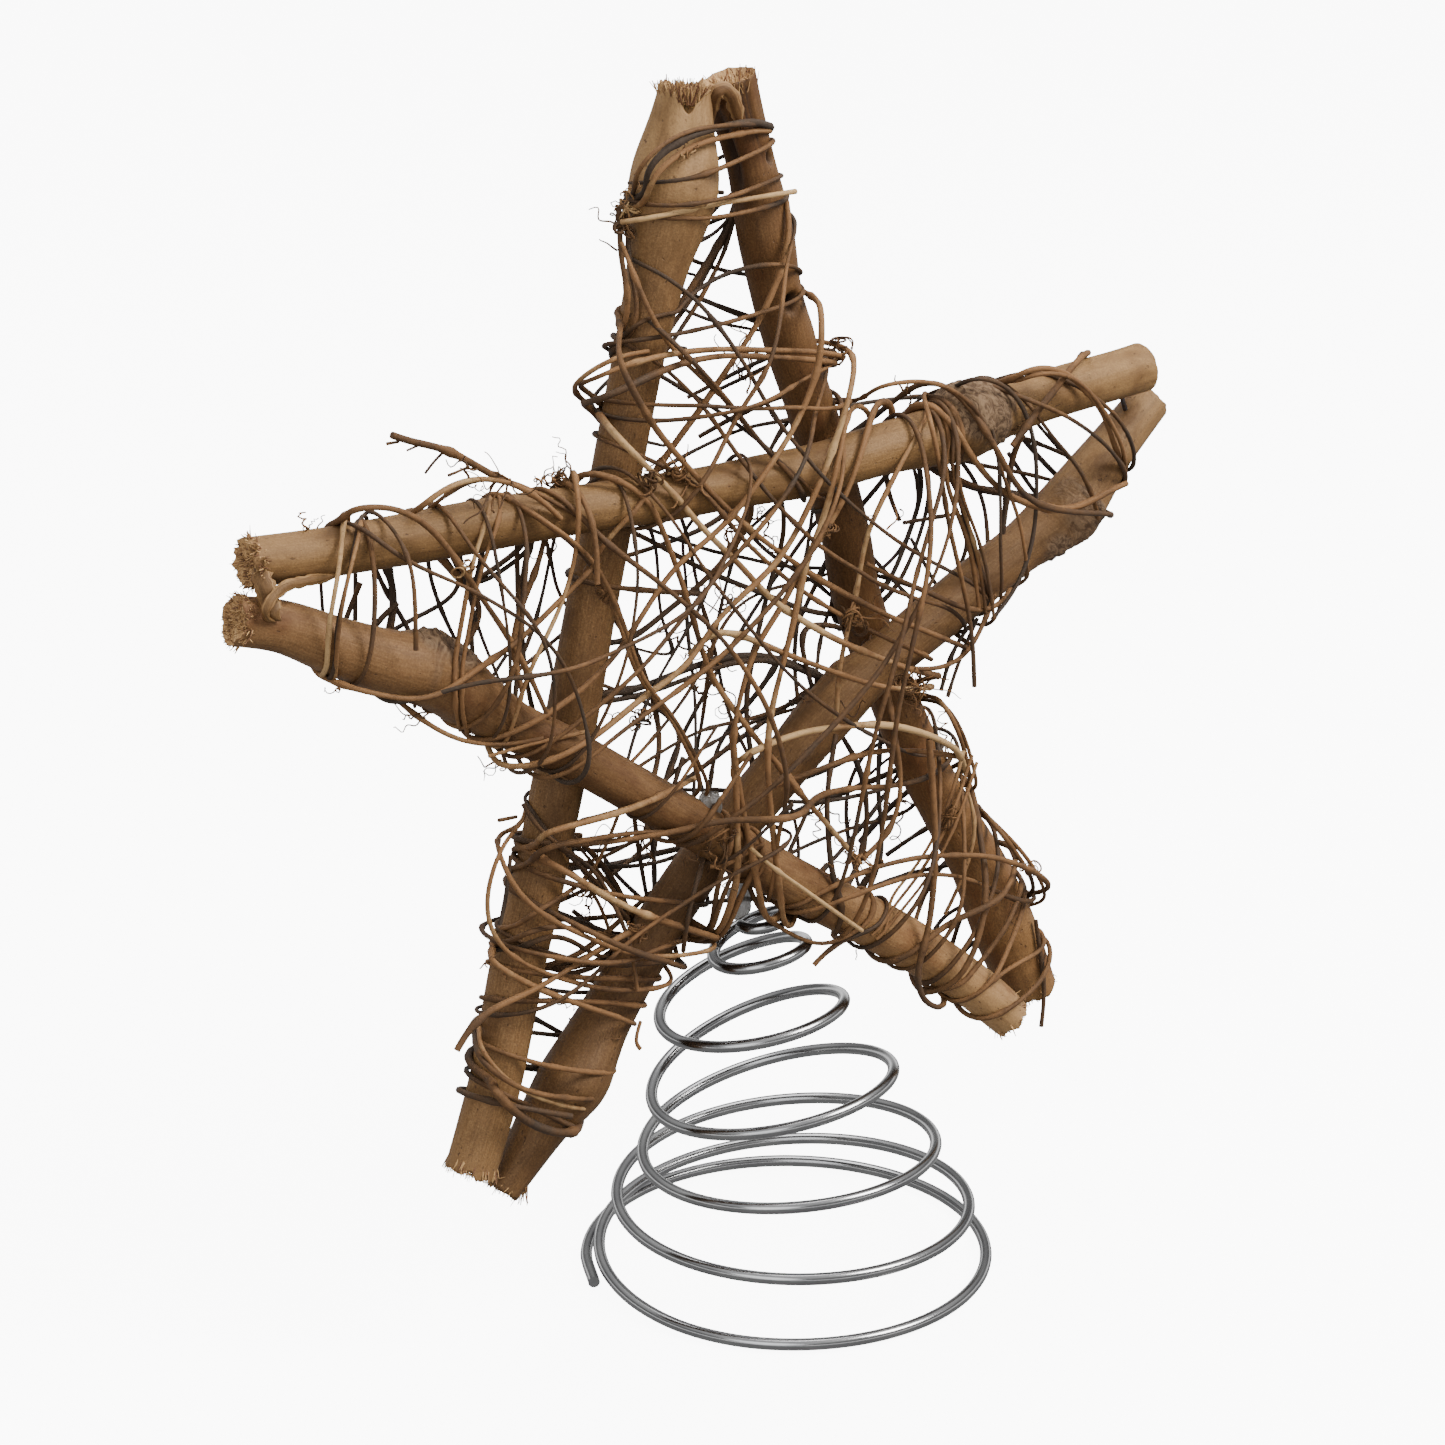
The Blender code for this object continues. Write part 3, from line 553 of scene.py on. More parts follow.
def make_stick(key, stick, finish):
    """One closed stick with ragged ends and the marks that its material reads."""
    skin, dark_and_pit_shade, bark = stick_skin(key, stick)
    (first_rings, first_tip), (last_rings, last_tip) = [
        torn_end(key, stick, skin, end) for end in (0, -1)]
    rings = first_rings[::-1] + list(skin) + last_rings
    count = len(rings)
    size = count * STICK_SIDES
    points = np.concatenate(rings + [[first_tip], [last_tip]])
    faces = []
    for low in range(0, size - STICK_SIDES, STICK_SIDES):
        for k in range(STICK_SIDES):
            n = (k + 1) % STICK_SIDES
            faces.append((low + k, low + n, low + STICK_SIDES + n, low + STICK_SIDES + k))
    for k in range(STICK_SIDES):
        n = (k + 1) % STICK_SIDES
        faces.append((size, n, k))
        faces.append((size + 1, size - STICK_SIDES + k, size - STICK_SIDES + n))
    mesh = bpy.data.meshes.new("peeled_" + stick.node)
    mesh.from_pydata(points.tolist(), [], faces)

    pad = len(first_rings)
    body = slice(pad * STICK_SIDES, size - pad * STICK_SIDES)
    along = np.r_[np.full(pad, 0.0), stick.along, np.full(pad, stick.along[-1])]
    levels = sorted((stick.seen((x, y))[0], level) for x, y, level in WEAR_AND_SHADE[key])
    # Paler ends: partly paler wood, partly painted light where the vines shade them less
    pale = sum(tip[3] * np.exp(-(reach / PALE_LIGHT_REACH) ** 2)
               for reach, tip in zip((along, stick.along[-1] - along), ENDS[key]))
    marks = {name: np.zeros(len(points)) for name in ("dark_and_pit_shade", "bark", "torn", "tip", "wear_and_shade")}
    marks["dark_and_pit_shade"][body] = dark_and_pit_shade.ravel()
    marks["bark"][body] = bark.ravel()
    marks["torn"] += 1.0
    marks["torn"][body] = 0.0
    marks["tip"][:size] = np.repeat(pale, STICK_SIDES)
    # How far wear and painted shade darken each ring
    marks["wear_and_shade"][:size] = np.repeat(np.interp(along, *zip(*levels)), STICK_SIDES)
    for name, values in marks.items():
        mark(mesh, name, values)
    grain = np.zeros((len(points), 3))
    grain[:size, 0] = np.tile(np.cos(STICK_TURN), count) * GRAIN_ROUND * MM
    grain[:size, 0] += END_SEED * "ABCDE".index(key)
    grain[:size, 1] = np.tile(np.sin(STICK_TURN), count) * GRAIN_ROUND * MM
    grain[:size, 2] = np.repeat(along, STICK_SIDES)
    mark_grain(mesh, grain)
    face_outwards(mesh)
    mesh.materials.append(finish.material)
    add_piece("peeled_" + stick.node, mesh, stick.node, stick.node)


def peeled_wood(name, body, pale, stain):
    """Dry peeled wood: fine grain along the stick, cloudy patches, red streaks and dark pores."""
    wood = Finish(name, body, 0.6)
    wood.put("Specular IOR Level", 0.2)
    grain = wood.attribute("grain", "Vector")
    fibre = wood.noise(wood.stretched(grain, (1.0, 1.0, 0.06)), 3600.0, 4.0, 0.65)
    streak = wood.noise(wood.stretched(grain, (1.0, 1.0, 0.12)), 620.0, 3.0, 0.55)
    cloud = wood.noise(wood.stretched(grain, (1.0, 1.0, 0.55)), 130.0, 4.0, 0.6)
    dust = wood.noise(grain, 2300.0, 3.0, 0.7)
    pore = wood.noise(wood.stretched(grain, (1.0, 1.0, 0.45)), 1500.0, 1.0, 0.5).step(0.70, 0.78)
    speck = wood.noise(grain, 620.0, 2.0, 0.6).step(0.68, 0.75)
    bark = wood.attribute("bark")
    dark_and_pit_shade = wood.attribute("dark_and_pit_shade")
    torn = wood.attribute("torn")
    colour = wood.mix(fibre.step(0.35, 0.75) * 0.32 + dust.step(0.45, 0.75) * 0.3, body, pale)
    # Paler ends: partly paler wood, partly painted light where the vines shade them less
    colour = wood.mix(wood.attribute("tip") * 0.85, colour, pale)
    veins = streak.step(0.48, 0.78) * 0.28 + dust.step(0.6, 0.3) * 0.2
    colour = wood.mix(veins, colour, (0.046, 0.0195, 0.0062))
    colour = wood.mix(cloud.step(0.46, 0.74) * 0.75, colour, stain)
    # Wear and painted shade: darker and warmer where the vines and other sticks shade the wood
    colour = wood.darkened(wood.attribute("wear_and_shade"), colour, (0.34, 0.29, 0.23))
    colour = wood.mix(pore * 0.6, colour, (0.035, 0.016, 0.007))
    colour = wood.mix(speck * 0.45, colour, (0.04, 0.018, 0.008))
    crust = wood.add(
        "ShaderNodeTexNoise", {},
        {"Vector": grain, "Scale": 420.0, "Detail": 4.0, "Roughness": 0.6, "Distortion": 2.5})
    scab = wood.mix(crust.step(0.38, 0.62), (0.046, 0.026, 0.015), (0.165, 0.106, 0.060))
    colour = wood.mix(bark.step(0.1, 0.7) * 0.85, colour, scab)
    straw = wood.mix(fibre.step(0.35, 0.6), (0.15, 0.062, 0.02), (0.42, 0.255, 0.11))
    colour = wood.mix(torn, colour, straw)
    # Dark spots, with painted shade in the dents, holes and splits
    colour = wood.mix(dark_and_pit_shade, colour, (0.018, 0.011, 0.008))
    wood.put("Base Color", colour)
    wood.put("Roughness", 0.52 + 0.2 * cloud + 0.2 * bark)
    wood.bump(fibre * 0.35 + dust * 0.3 + streak * 0.5 + crust * bark * 3.0 - pore * 0.4, 0.22 * MM)
    return wood


# Each stick's wood: its name, the body of its colour, its pale fibres and its cloudy stain
WOODS = {
    "A": ("upright_left", (0.143, 0.071, 0.0245), (0.310, 0.186, 0.079), (0.086, 0.041, 0.0138)),
    "B": ("upright_right", (0.124, 0.058, 0.019), (0.240, 0.130, 0.048), (0.096, 0.036, 0.011)),
    "C": ("cross", (0.158, 0.084, 0.0295), (0.285, 0.168, 0.067), (0.100, 0.049, 0.017)),
    "D": ("elbow", (0.195, 0.100, 0.0385), (0.345, 0.208, 0.092), (0.100, 0.038, 0.012)),
    "E": ("right_arm", (0.128, 0.064, 0.0230), (0.235, 0.140, 0.058), (0.070, 0.033, 0.0115)),
}
wood_finishes = {}
for key, (name, body, pale, stain) in WOODS.items():
    wood_finishes[key] = peeled_wood("peeled_wood_" + name, body, pale, stain)
    make_stick(key, sticks[key], wood_finishes[key])


# The vines: dried climbing stems a little over a millimetre thick, wound in and out round the
# sticks. Orange-brown to tan, with painted shade that turns them nearly black towards the back.
VINE_SIDES = 8

# The steps along a strand, and how far apart the strands of a piece lie in their bark's pattern
STRAND_STEP = 1.1 * MM
STRAND_OFFSET = 0.37


def tube_tree():
    """Geometry nodes that turn lines into round strands, as thick as each line point says."""
    tree = bpy.data.node_groups.new("strand_tube", "GeometryNodeTree")
    face = tree.interface
    face.new_socket("Lines", in_out="INPUT", socket_type="NodeSocketGeometry")
    sides = face.new_socket("Sides", in_out="INPUT", socket_type="NodeSocketInt")
    finish = face.new_socket("Finish", in_out="INPUT", socket_type="NodeSocketMaterial")
    face.new_socket("Strands", in_out="OUTPUT", socket_type="NodeSocketGeometry")
    node = {}
    for key, kind in (
        ("in", "NodeGroupInput"), ("curve", "GeometryNodeMeshToCurve"),
        ("round", "GeometryNodeCurvePrimitiveCircle"), ("thick", "GeometryNodeInputNamedAttribute"),
        ("tube", "GeometryNodeCurveToMesh"), ("smooth", "GeometryNodeSetShadeSmooth"),
        ("real", "GeometryNodeRealizeInstances"), ("paint", "GeometryNodeSetMaterial"),
        ("out", "NodeGroupOutput"),
    ):
        node[key] = tree.nodes.new(kind)
    node["thick"].inputs["Name"].default_value = "thick"
    node["tube"].inputs["Fill Caps"].default_value = True
    for start, output, end, entry in (
        ("in", 0, "curve", "Mesh"), ("in", 1, "round", "Resolution"), ("curve", 0, "tube", "Curve"),
        ("round", 0, "tube", "Profile Curve"), ("thick", 0, "tube", "Scale"),
        ("tube", 0, "smooth", "Geometry"), ("smooth", 0, "real", "Geometry"),
        ("real", 0, "paint", "Geometry"), ("in", 2, "paint", "Material"),
        ("paint", 0, "out", 0),
    ):
        tree.links.new(node[start].outputs[output], node[end].inputs[entry])
    node["round"].inputs["Radius"].default_value = 1.0
    return tree, sides.identifier, finish.identifier


TUBES, SIDES_INPUT, FINISH_INPUT = tube_tree()


def strand_piece(name, strands, sides, finish, slot, *nodes):
    """One piece of round strands. Each strand is its points, radii and tints along it."""
    points = np.concatenate([s[0] for s in strands])
    thick = np.concatenate([np.broadcast_to(s[1], len(s[0])) for s in strands])
    tint = np.concatenate([np.broadcast_to(s[2], len(s[0])) for s in strands])
    along = np.concatenate([lengths_along(s[0]) + STRAND_OFFSET * n for n, s in enumerate(strands)])
    edges = []
    start = 0
    for line in strands:
        edges += [(start + k, start + k + 1) for k in range(len(line[0]) - 1)]
        start += len(line[0])
    mesh = bpy.data.meshes.new(name)
    mesh.from_pydata(points.tolist(), edges, [])
    for key, values in (("thick", thick), ("tint", tint), ("along", along)):
        mark(mesh, key, values)
    lines = bpy.data.objects.new(name + "_lines", mesh)
    bpy.context.scene.collection.objects.link(lines)
    modifier = lines.modifiers.new("tubes", "NODES")
    modifier.node_group = TUBES
    modifier[SIDES_INPUT] = sides
    modifier[FINISH_INPUT] = finish.material
    bpy.context.view_layer.update()
    graph = bpy.context.evaluated_depsgraph_get()
    solid = bpy.data.meshes.new_from_object(lines.evaluated_get(graph))
    bpy.data.objects.remove(lines)
    bpy.data.meshes.remove(mesh)
    solid.name = name
    add_piece(name, solid, slot, *nodes)


def depth_of(points):
    """How far behind the star's plane points lie."""
    return (points - STAR_MIDDLE) @ STAR_REAR


# Every fifth ring of the sticks, which strands bend round but never enter
CORE = np.concatenate([stick.centre[::5] for stick in sticks.values()])
CORE_RADIUS = np.concatenate([stick.radius[::5] for stick in sticks.values()])


def settled(line, radius, rounds=36):
    """A path eased like a springy stem, but kept outside the sticks that it bends round."""
    line = line.copy()
    for turn in range(rounds):
        line[1:-1] += 0.5 * ((line[:-2] + line[2:]) / 2 - line[1:-1])
        # Every third round pushes it back out of the sticks
        if turn % 3 == 2:
            reach = line[:, None] - CORE[None]
            gap = np.linalg.norm(reach, axis=2) - CORE_RADIUS - radius
            near = gap.argmin(axis=1)
            rows = np.arange(len(line))
            short = np.minimum(gap[rows, near], 0.0)
            line -= unit(reach[rows, near]) * short[:, None]
    return line


# How a stem grows: how often it changes course, its nodes' length and distance, and the depths
# between which painted shade darkens it
BEND_STEP = 11 * MM
NODE_LENGTH = 1.5 * MM
NODE_GAP = (22, 48)
SHADE_START_DEPTH = -10.0 * MM
SHADE_FULL_DEPTH = 11.0 * MM


def grown(points, radius, tint, rng, wobble=0.16):
    """A natural stem along a path: it wanders a little, swells at its nodes and gets painted shade
    behind.
    """
    line = settled(flowing(points, STRAND_STEP), radius)
    at = lengths_along(line)
    bends = np.arange(0.0, at[-1] + 2 * BEND_STEP, BEND_STEP)

    def wander(size):
        return np.interp(at, bends, rng.normal(0, size, len(bends)))

    sway = np.column_stack([wander(wobble * MM) for _ in range(3)])
    for _ in range(4):
        sway[1:-1] = (sway[:-2] + 2 * sway[1:-1] + sway[2:]) / 4
    line = line + sway
    thick = radius * (1 + 0.10 * wander(1))
    taper = rng.uniform(-0.12, 0.12)
    thick *= 1 + taper * (at / at[-1] - 0.5) * 2
    node = rng.uniform(4, 20) * MM
    while node < at[-1]:
        swell = rng.uniform(0.18, 0.5)
        thick += radius * swell * np.exp(-((at - node) / NODE_LENGTH) ** 2)
        node += rng.uniform(*NODE_GAP) * MM
    # Painted shade: the further behind the star's plane a strand lies, the darker its tint
    rear_shade = np.clip((depth_of(line) - SHADE_START_DEPTH) / (SHADE_FULL_DEPTH - SHADE_START_DEPTH), 0, 1)
    return line, thick, tint - 0.35 * rear_shade ** 1.3 + 0.16 * wander(1)


def vine_bark(name):
    """Thin dry bark: its tint runs from nearly black over orange-brown to light tan; the nearly black end
    is mostly painted shade on strands behind.
    """
    bark = Finish(name, (0.30, 0.14, 0.06), 0.6)
    tint = bark.attribute("tint")
    along = bark.attribute("along")
    place = bark.add("ShaderNodeTexCoord", {}, {}, "Object")
    mottle = bark.noise(place, 380.0, 3.0, 0.6)
    fleck = bark.noise(place, 1900.0, 2.0, 0.6)
    rings = bark.noise(bark.add("ShaderNodeCombineXYZ", {}, {"X": along}), 260.0, 2.0, 0.6)
    level = tint + 0.5 * (mottle - 0.5) + 0.3 * (rings - 0.5)
    # The darkest colour is reached mostly through the painted shade in the tint of strands behind the
    # star
    colour = bark.mix(level.step(0.0, 0.5), (0.0400, 0.0275, 0.0190), (0.072, 0.0370, 0.0165))
    colour = bark.mix(level.step(0.35, 0.8), colour, (0.158, 0.080, 0.0335))
    colour = bark.mix(level.step(0.8, 1.25), colour, (0.34, 0.215, 0.100))
    colour = bark.mix(fleck.step(0.6, 0.72) * 0.5, colour, (0.022, 0.010, 0.006))
    bark.put("Base Color", colour)
    bark.put("Roughness", 0.55 + 0.25 * mottle)
    bark.put("Specular IOR Level", 0.12)
    bark.bump(fleck * 0.6 + mottle * 0.8, 0.18 * MM)
    return bark


vine_finish = vine_bark("vine_bark")
vine_rng = np.random.default_rng(8)

# One tint for each strand that is a solid. A dark one lies further back and is thinner.
VINE_TINTS = (
    0.50, 0.42, 0.28, 0.40, 0.46, 0.50, 0.44, 0.50, 0.24, 0.38,
    0.30, 0.30, 0.64, 0.36, 0.44, 0.50, 0.46, 0.50, 0.44, 0.46)
vine_stems = []
for number, tint in enumerate(VINE_TINTS, 1):
    node = "vine_%02d" % number
    centres, radii = rings_of(node, (-1.0, 0.0, 1.0))
    stem = grown(centres, (0.36 + 0.4 * tint) * float(np.median(radii)), tint, vine_rng)
    strand_piece("dried_" + node, [stem], VINE_SIDES, vine_finish, node, node)
    vine_stems.append(stem)


# Thinner vines, wound in with the others and pressed against the sticks: light and orange stems
# in front, the top arm's dark bundle, the doubled loops on the left arm and the ones behind, which
# painted shade makes dark.
# Their ends are bent round a stick or laid against its rear.

# Each row: radius in mm, tint, depth in mm behind the star's plane, how many run side by side,
# and the photo points it passes, one of them with a depth of its own after a slash. A mark < or >
# carries that end round the stick behind it, and [ or ] lays it against the rear of the stick.
SEEN_VINES = (
    (0.68, 0.85, -14, 1, "<593,419 626,446 660,478 709,536 734,560 767,597 820,633 903,669 930,680>"),
    (0.64, 0.75, -14, 1,
     "<608,320 621,368 651,420 676,453 717,499 774,549 821,581 880,612 959,644 976,649>"),
    (0.52, 0.45, -11, 2, "648,322/-4 680,350 722,398 764,451 809,498>"),
    (0.62, 0.70, -4, 1,
     "787,196/-1 792,212 793,232 785,262 770,300 752,335 734,358 717,386 676,444/0 655,472/1"),
    (0.62, 0.80, -14, 1,
     "<812,298 821,328 822,355 812,388 789,436 759,478 717,532 676,565 626,638 587,686 546,716 "
     "518,733 463,743>"),
    (0.66, 0.85, -15, 1,
     "<846,343 848,400 834,449 807,513 780,561 756,583 709,631 693,660 643,698 593,739 546,763 488,764>"),
    (0.68, 0.75, -14, 1,
     "<892,400 860,459 842,508 805,560 781,610 759,640 739,709 734,726 741,792 754,858 761,899 778,922>"),
    (0.64, 0.80, -15, 1,
     "<866,404 842,450 828,508 807,561 792,635 782,668 771,718 774,831 779,867 796,925>"),
    (0.54, 0.90, -13, 1, "<923,406 898,472 869,534 857,600 842,660 838,720"),
    (0.52, 0.60, -15, 1, "<926,391 934,427 941,472 951,525 962,575 973,622 976,687"),
    (0.78, 0.65, -14, 1, "<921,406 968,452 1001,491 1040,508 1077,510 1109,491 1128,484"),
    (0.64, 0.80, -13, 1,
     "<575,470 602,473 625,481 643,493 655,512 668,545 680,580 694,625 701,655 712,680 735,712 "
     "760,744 800,790"),
    (0.62, 0.85, -15, 1, "690,655/-10 709,631 756,643 787,656 820,668 860,683 896,689 925,690>"),
    (0.74, 1.15, -15, 1,
     "735,765/-9 741,757 776,741 820,730 860,724 909,728 946,741/-14 962,756/-8 967,772/-3"),
    (0.62, 0.55, -11, 1, "775,785/-8 820,768 860,752 900,747 940,752 962,765>"),
    (0.70, 0.75, -13, 1, "<518,844 545,834 590,822 640,806 680,788 700,778/-8"),
    (0.62, 0.40, -10, 1, "<512,862 540,848 587,839 625,833 675,826 710,812/-8"),
    (0.72, 0.65, -9, 1, "<518,844 560,868 600,890 640,912 680,925 722,938>"),
    (0.54, 0.85, -9, 1, "<507,830 506,870 512,888 530,906 565,926 602,945 640,957 690,955 722,946>"),
    (0.50, 0.65, -8, 1,
     "<518,816 500,848 489,880 485,912 491,935 505,953 525,965 558,977 602,988 646,989 678,977>"),
    (0.60, 0.80, -8, 1, "<486,948 492,962 510,974 545,990 580,1005 610,1014 634,1021>"),
    (0.70, 0.60, -9, 1,
     "640,928/-6 620,938 598,951 575,966 545,985 510,1001 485,1013 470,1027 461,1040 457,1052"),
    (0.50, 0.95, -8, 1, "<474,1031 480,1050 497,1074 520,1091 548,1103 592,1106>"),
    (0.60, 0.45, -8, 1, "<468,1038 480,1060 505,1081 535,1094 570,1098 598,1090>"),
    (0.50, 0.55, -11, 1, "705,850/-8 698,878 689,915 684,950/-6"),
    (0.45, 0.30, -6, 1, "510,855 507,880 504,908 499,925"),
    (0.42, 0.50, -6, 1, "518,816/-4 508,819 500,820"),
    (0.45, 0.60, -6, 1, "640,1020/-4 636,1036 626,1050 636,1050 640,1048"),
    (0.46, 1.25, -17, 1, "750,850 757,857 810,895 862,933"),
    (0.74, 0.15, -9, 1, "<629,193 642,172 667,147 690,136 723,128/-6 751,122/-5 764,125/-4 775,132>"),
    (0.58, 0.80, -8, 1, "<631,203 646,182 670,158 692,145 724,137/-5 752,131/-4 772,136>"),
    (0.52, 0.60, -9, 1, "<627,190 640,165 662,144 690,131 720,127/-6 750,126/-5 770,131>"),
    (0.60, 1.20, -8, 1, "622,221/0 640,219/-4 694,208/-7 751,197/-6 797,189/-5"),
    (0.60, 0.50, -6, 2, "618,206/2 625,224/1 617,241/1 623,270/0 633,308/-3 608,340/-2>"),
    (0.55, 0.70, -7, 1, "623,241/0 636,279/-4 648,308/-6 667,340 690,366/-5 720,392/-3"),
    (0.46, 0.35, -6, 1, "<612,338 640,322 675,306/0 703,285/1 738,268/-2 780,264 807,278>"),
    (0.60, 0.80, -8, 1, "<585,391 601,376 626,363 663,355 693,350 742,349 792,351 846,357>"),
    (0.70, 0.45, -9, 1, "<588,408 605,398 630,388 660,373 693,361 759,358 814,360 838,366>"),
    (0.55, 0.85, -7, 1, "<583,400 590,372 612,358 650,352"),
    (0.50, 0.85, -14, 2, "<350,508 341,567 330,621 327,672>"),
    (0.46, 0.10, -11, 1, "<366,510 356,552 344,600 333,640 330,672>"),
    (0.60, 0.60, -14, 1, "<341,520 352,509 384,506 417,517 449,549 471,582 504,632 532,682 548,720"),
    (0.62, 0.75, -15, 1, "<330,682 363,692 395,701 438,697 482,669 540,621 578,585 600,560"),
    (0.50, 0.80, -14, 2, "<488,497 471,567 460,632 449,686 456,736>"),
    (0.55, 0.60, -13, 1, "408,520/-2 421,508 455,481 480,478 504,481 537,497 560,520"),
    (0.48, 0.45, -12, 1, "432,512/-6 446,494 468,482 500,478 530,489 552,503 574,516"),
    (0.52, 0.95, -15, 1, "<571,466 577,495 579,520 571,569 559,611 546,637 520,690 500,730>"),
    (0.56, 0.60, -14, 2,
     "<493,493 537,516 571,539 596,569 610,599 624,636 635,676 660,701 684,742 701,792>"),
    (0.60, 0.55, -8, 1, "545,530/-5 541,556 532,580 522,600 516,622 511,645 515,670 522,692/-10"),
    (0.56, 0.60, -12, 1, "650,490/-13 622,520 600,548 585,572/-7"),
    (0.44, 1.05, -13, 1, "488,757/-12 525,747 556,740 585,733"),
    (0.50, 0.50, -12, 1, "<408,708 430,728 460,742 504,746 540,738"),
    (0.75, 0.35, -13, 1, "500,480 480,470 446,448 421,443 397,442 390,435"),
    (0.30, 0.35, -13, 1, "447,448 436,452 428,462 424,474"),
    (0.26, 0.30, -13, 1, "421,443 412,448 406,450"),
    (0.30, 0.30, -12, 1, "398,442 391,446 386,444"),
    (0.35, 0.30, -8, 1, "470,467 462,476 455,479 449,476"),
    (0.56, 0.65, -14, 2, "<990,388 1020,372 1044,367 1072,376 1098,408 1116,452/-9 1118,476>"),
    (0.74, 0.60, -13, 1, "<1083,350 1076,362 1062,381 1045,400 1028,422 1013,444"),
    (0.46, 0.50, -14, 1,
     "<855,402 880,385 918,379 950,386 975,405 990,428 995,450 1003,475 1012,500 1022,525 1024,552 "
     "1019,580>"),
    (0.46, 0.10, -13, 1,
     "<950,388 972,377 992,377 1010,388 1024,408 1032,430 1036,470 1036,510 1032,550 1020,582 "
     "1002,610 992,620"),
    (0.66, 0.35, -6, 1, "1018,430/-8 1014,452 1008,482 1007,512 1003,535"),
    (0.52, 0.55, -12, 3, "<932,430 942,470 956,508 968,540 976,575 980,610"),
    (0.55, 0.75, -13, 1, "995,595/-9 984,622 976,645 958,664 930,672 905,668/-11"),
    (0.55, 0.50, -12, 1, "1010,588/-8 1003,602 990,613 972,611 940,596 900,580 865,562/-12"),
    (0.48, 0.20, -3, 2, "968,612 958,640 948,665 941,692"),
    (0.62, 0.65, -14, 1, "<784,892 800,884 860,872 898,861 936,855 1005,860 1033,872 1042,893>"),
    (0.76, 0.72, -14, 1, "930,740 935,802 937,867 929,929 918,975 921,996 943,999>"),
    (0.58, 0.70, -13, 1, "888,690/-10 891,720 897,750 902,785 898,815 885,840 862,860"),
    (0.60, 0.40, -12, 1, "835,735/-8 828,780 825,815 828,850 831,885 836,915/-8"),
    (0.64, 0.75, -13, 1, "776,765/-12 800,795 830,830 858,862"),
    (0.46, 0.85, -10, 3, "964,752/-8 949,800 932,840 910,875 885,903 862,925/-8"),
    (0.42, 0.90, -9, 1, "966,788/-7 977,815 972,850 961,885 945,915/-7"),
    (0.52, 0.80, -11, 1, "<1036,940 1008,970 978,991 946,998>"),
    (0.56, 0.40, -11, 1, "<1019,878 1013,912 998,942 975,970 946,987 925,992>"),
    (0.52, 0.50, -4, 1, "1036,920 1039,950 1045,988 1041,1025"),
    (0.52, 0.60, -6, 2, "<925,700 945,705 958,730 966,760 962,790>"),
    (0.56, 0.60, -7, 2, "<968,810 990,822 1012,845 1030,872 1038,900>"),
    (0.55, 0.44, 10, 2, "[742,200 734,212 713,260 694,298 671,327 640,380 620,430]"),
    (0.78, 0.40, 9, 1, "[742,204 724,236 706,262 690,290 672,318 655,345]"),
    (0.42, 0.44, 10, 1, "[682,282 712,303 752,338]"),
    (0.42, 0.40, 11, 1, "[688,282 722,308 760,338]"),
    (0.38, 0.48, 9, 1, "[672,290 705,318 748,345]"),
    (0.42, 0.44, 9, 1, "[680,252 715,236 748,205]"),
    (0.52, 0.48, 10, 2, "[920,470 965,485 1010,492 1070,500]"),
    (0.48, 0.52, 9, 1, "[930,445 965,460 1010,470 1075,480]"),
    (0.60, 0.40, 11, 2, "[938,462 922,500 906,545 888,590 876,620]"),
    (0.48, 0.44, 12, 1, "[930,462 915,520 896,560 878,595]"),
    (0.50, 0.40, 9, 1, "[975,485 984,512 994,545]"),
    (0.45, 0.44, 10, 1, "904,523 930,519 956,514"),
    (0.60, 0.48, 9, 1, "[625,520 655,542 700,568 760,592 800,608 860,622]"),
    (0.66, 0.60, 8, 1, "[600,650 635,638 660,615 690,592 720,565 750,520 765,500]"),
    (0.42, 0.44, 10, 1, "[652,525 658,560 658,600 663,630 676,648 700,658]"),
    (0.44, 0.48, 11, 1, "[690,505 692,555 700,600 714,640 722,690 716,735]"),
    (0.60, 0.44, 10, 1, "[797,495 782,545 768,590 756,640 745,700 742,760]"),
    (0.42, 0.48, 12, 1, "[735,553 790,568 830,590 870,605]"),
    (0.62, 0.36, 11, 1, "[790,606 845,616 880,622]"),
    (0.60, 0.40, 9, 1, "[760,640 800,624 845,628 870,628]"),
    (0.48, 0.44, 10, 1, "[808,500 804,560 798,610 792,660 785,700]"),
    (0.45, 0.40, 12, 1, "[824,600 818,640 812,690]"),
    (0.78, 0.44, 10, 2, "[590,708 640,690 690,668 740,655 790,662 830,672]"),
    (0.60, 0.48, 11, 1, "[612,590 630,635 648,680 662,730 672,790]"),
    (0.50, 0.44, 9, 1, "[668,690 682,735 690,780]"),
    (0.44, 0.48, 10, 1, "[660,742 720,725 770,714 810,695 850,690]"),
    (0.42, 0.44, 12, 1, "[700,735 760,718 820,705]"),
    (0.40, 0.44, 8, 1, "[670,720 690,690 705,665 720,628 757,598]"),
    (0.60, 0.40, 9, 2, "[455,600 476,582 500,562 520,550 545,536]"),
    (0.50, 0.56, 8, 1, "[385,636 425,612 455,598 480,590]"),
    (0.42, 0.44, 9, 1, "[546,536 552,565 553,590 562,612]"),
    (0.50, 0.44, 10, 1, "[512,678 535,655 560,628]"),
    (0.62, 0.40, 8, 1, "[862,735 864,790 862,850 866,890]"),
    (0.50, 0.44, 10, 1, "[876,730 878,790 884,845 890,900]"),
    (0.48, 0.40, 9, 1, "[770,826 840,800 905,780 945,765]"),
    (0.46, 0.44, 11, 1, "[790,846 860,825 920,805 950,795]"),
    (0.50, 0.44, 10, 1, "[835,865 862,825 880,800 905,775]"),
    (0.44, 0.44, 10, 1, "[785,770 795,815 800,860 806,895]"),
    (0.60, 0.52, 8, 2, "[580,822 600,862 622,905 645,960 655,1000]"),
    (0.50, 0.40, 9, 1, "[590,874 640,866 690,852 720,842]"),
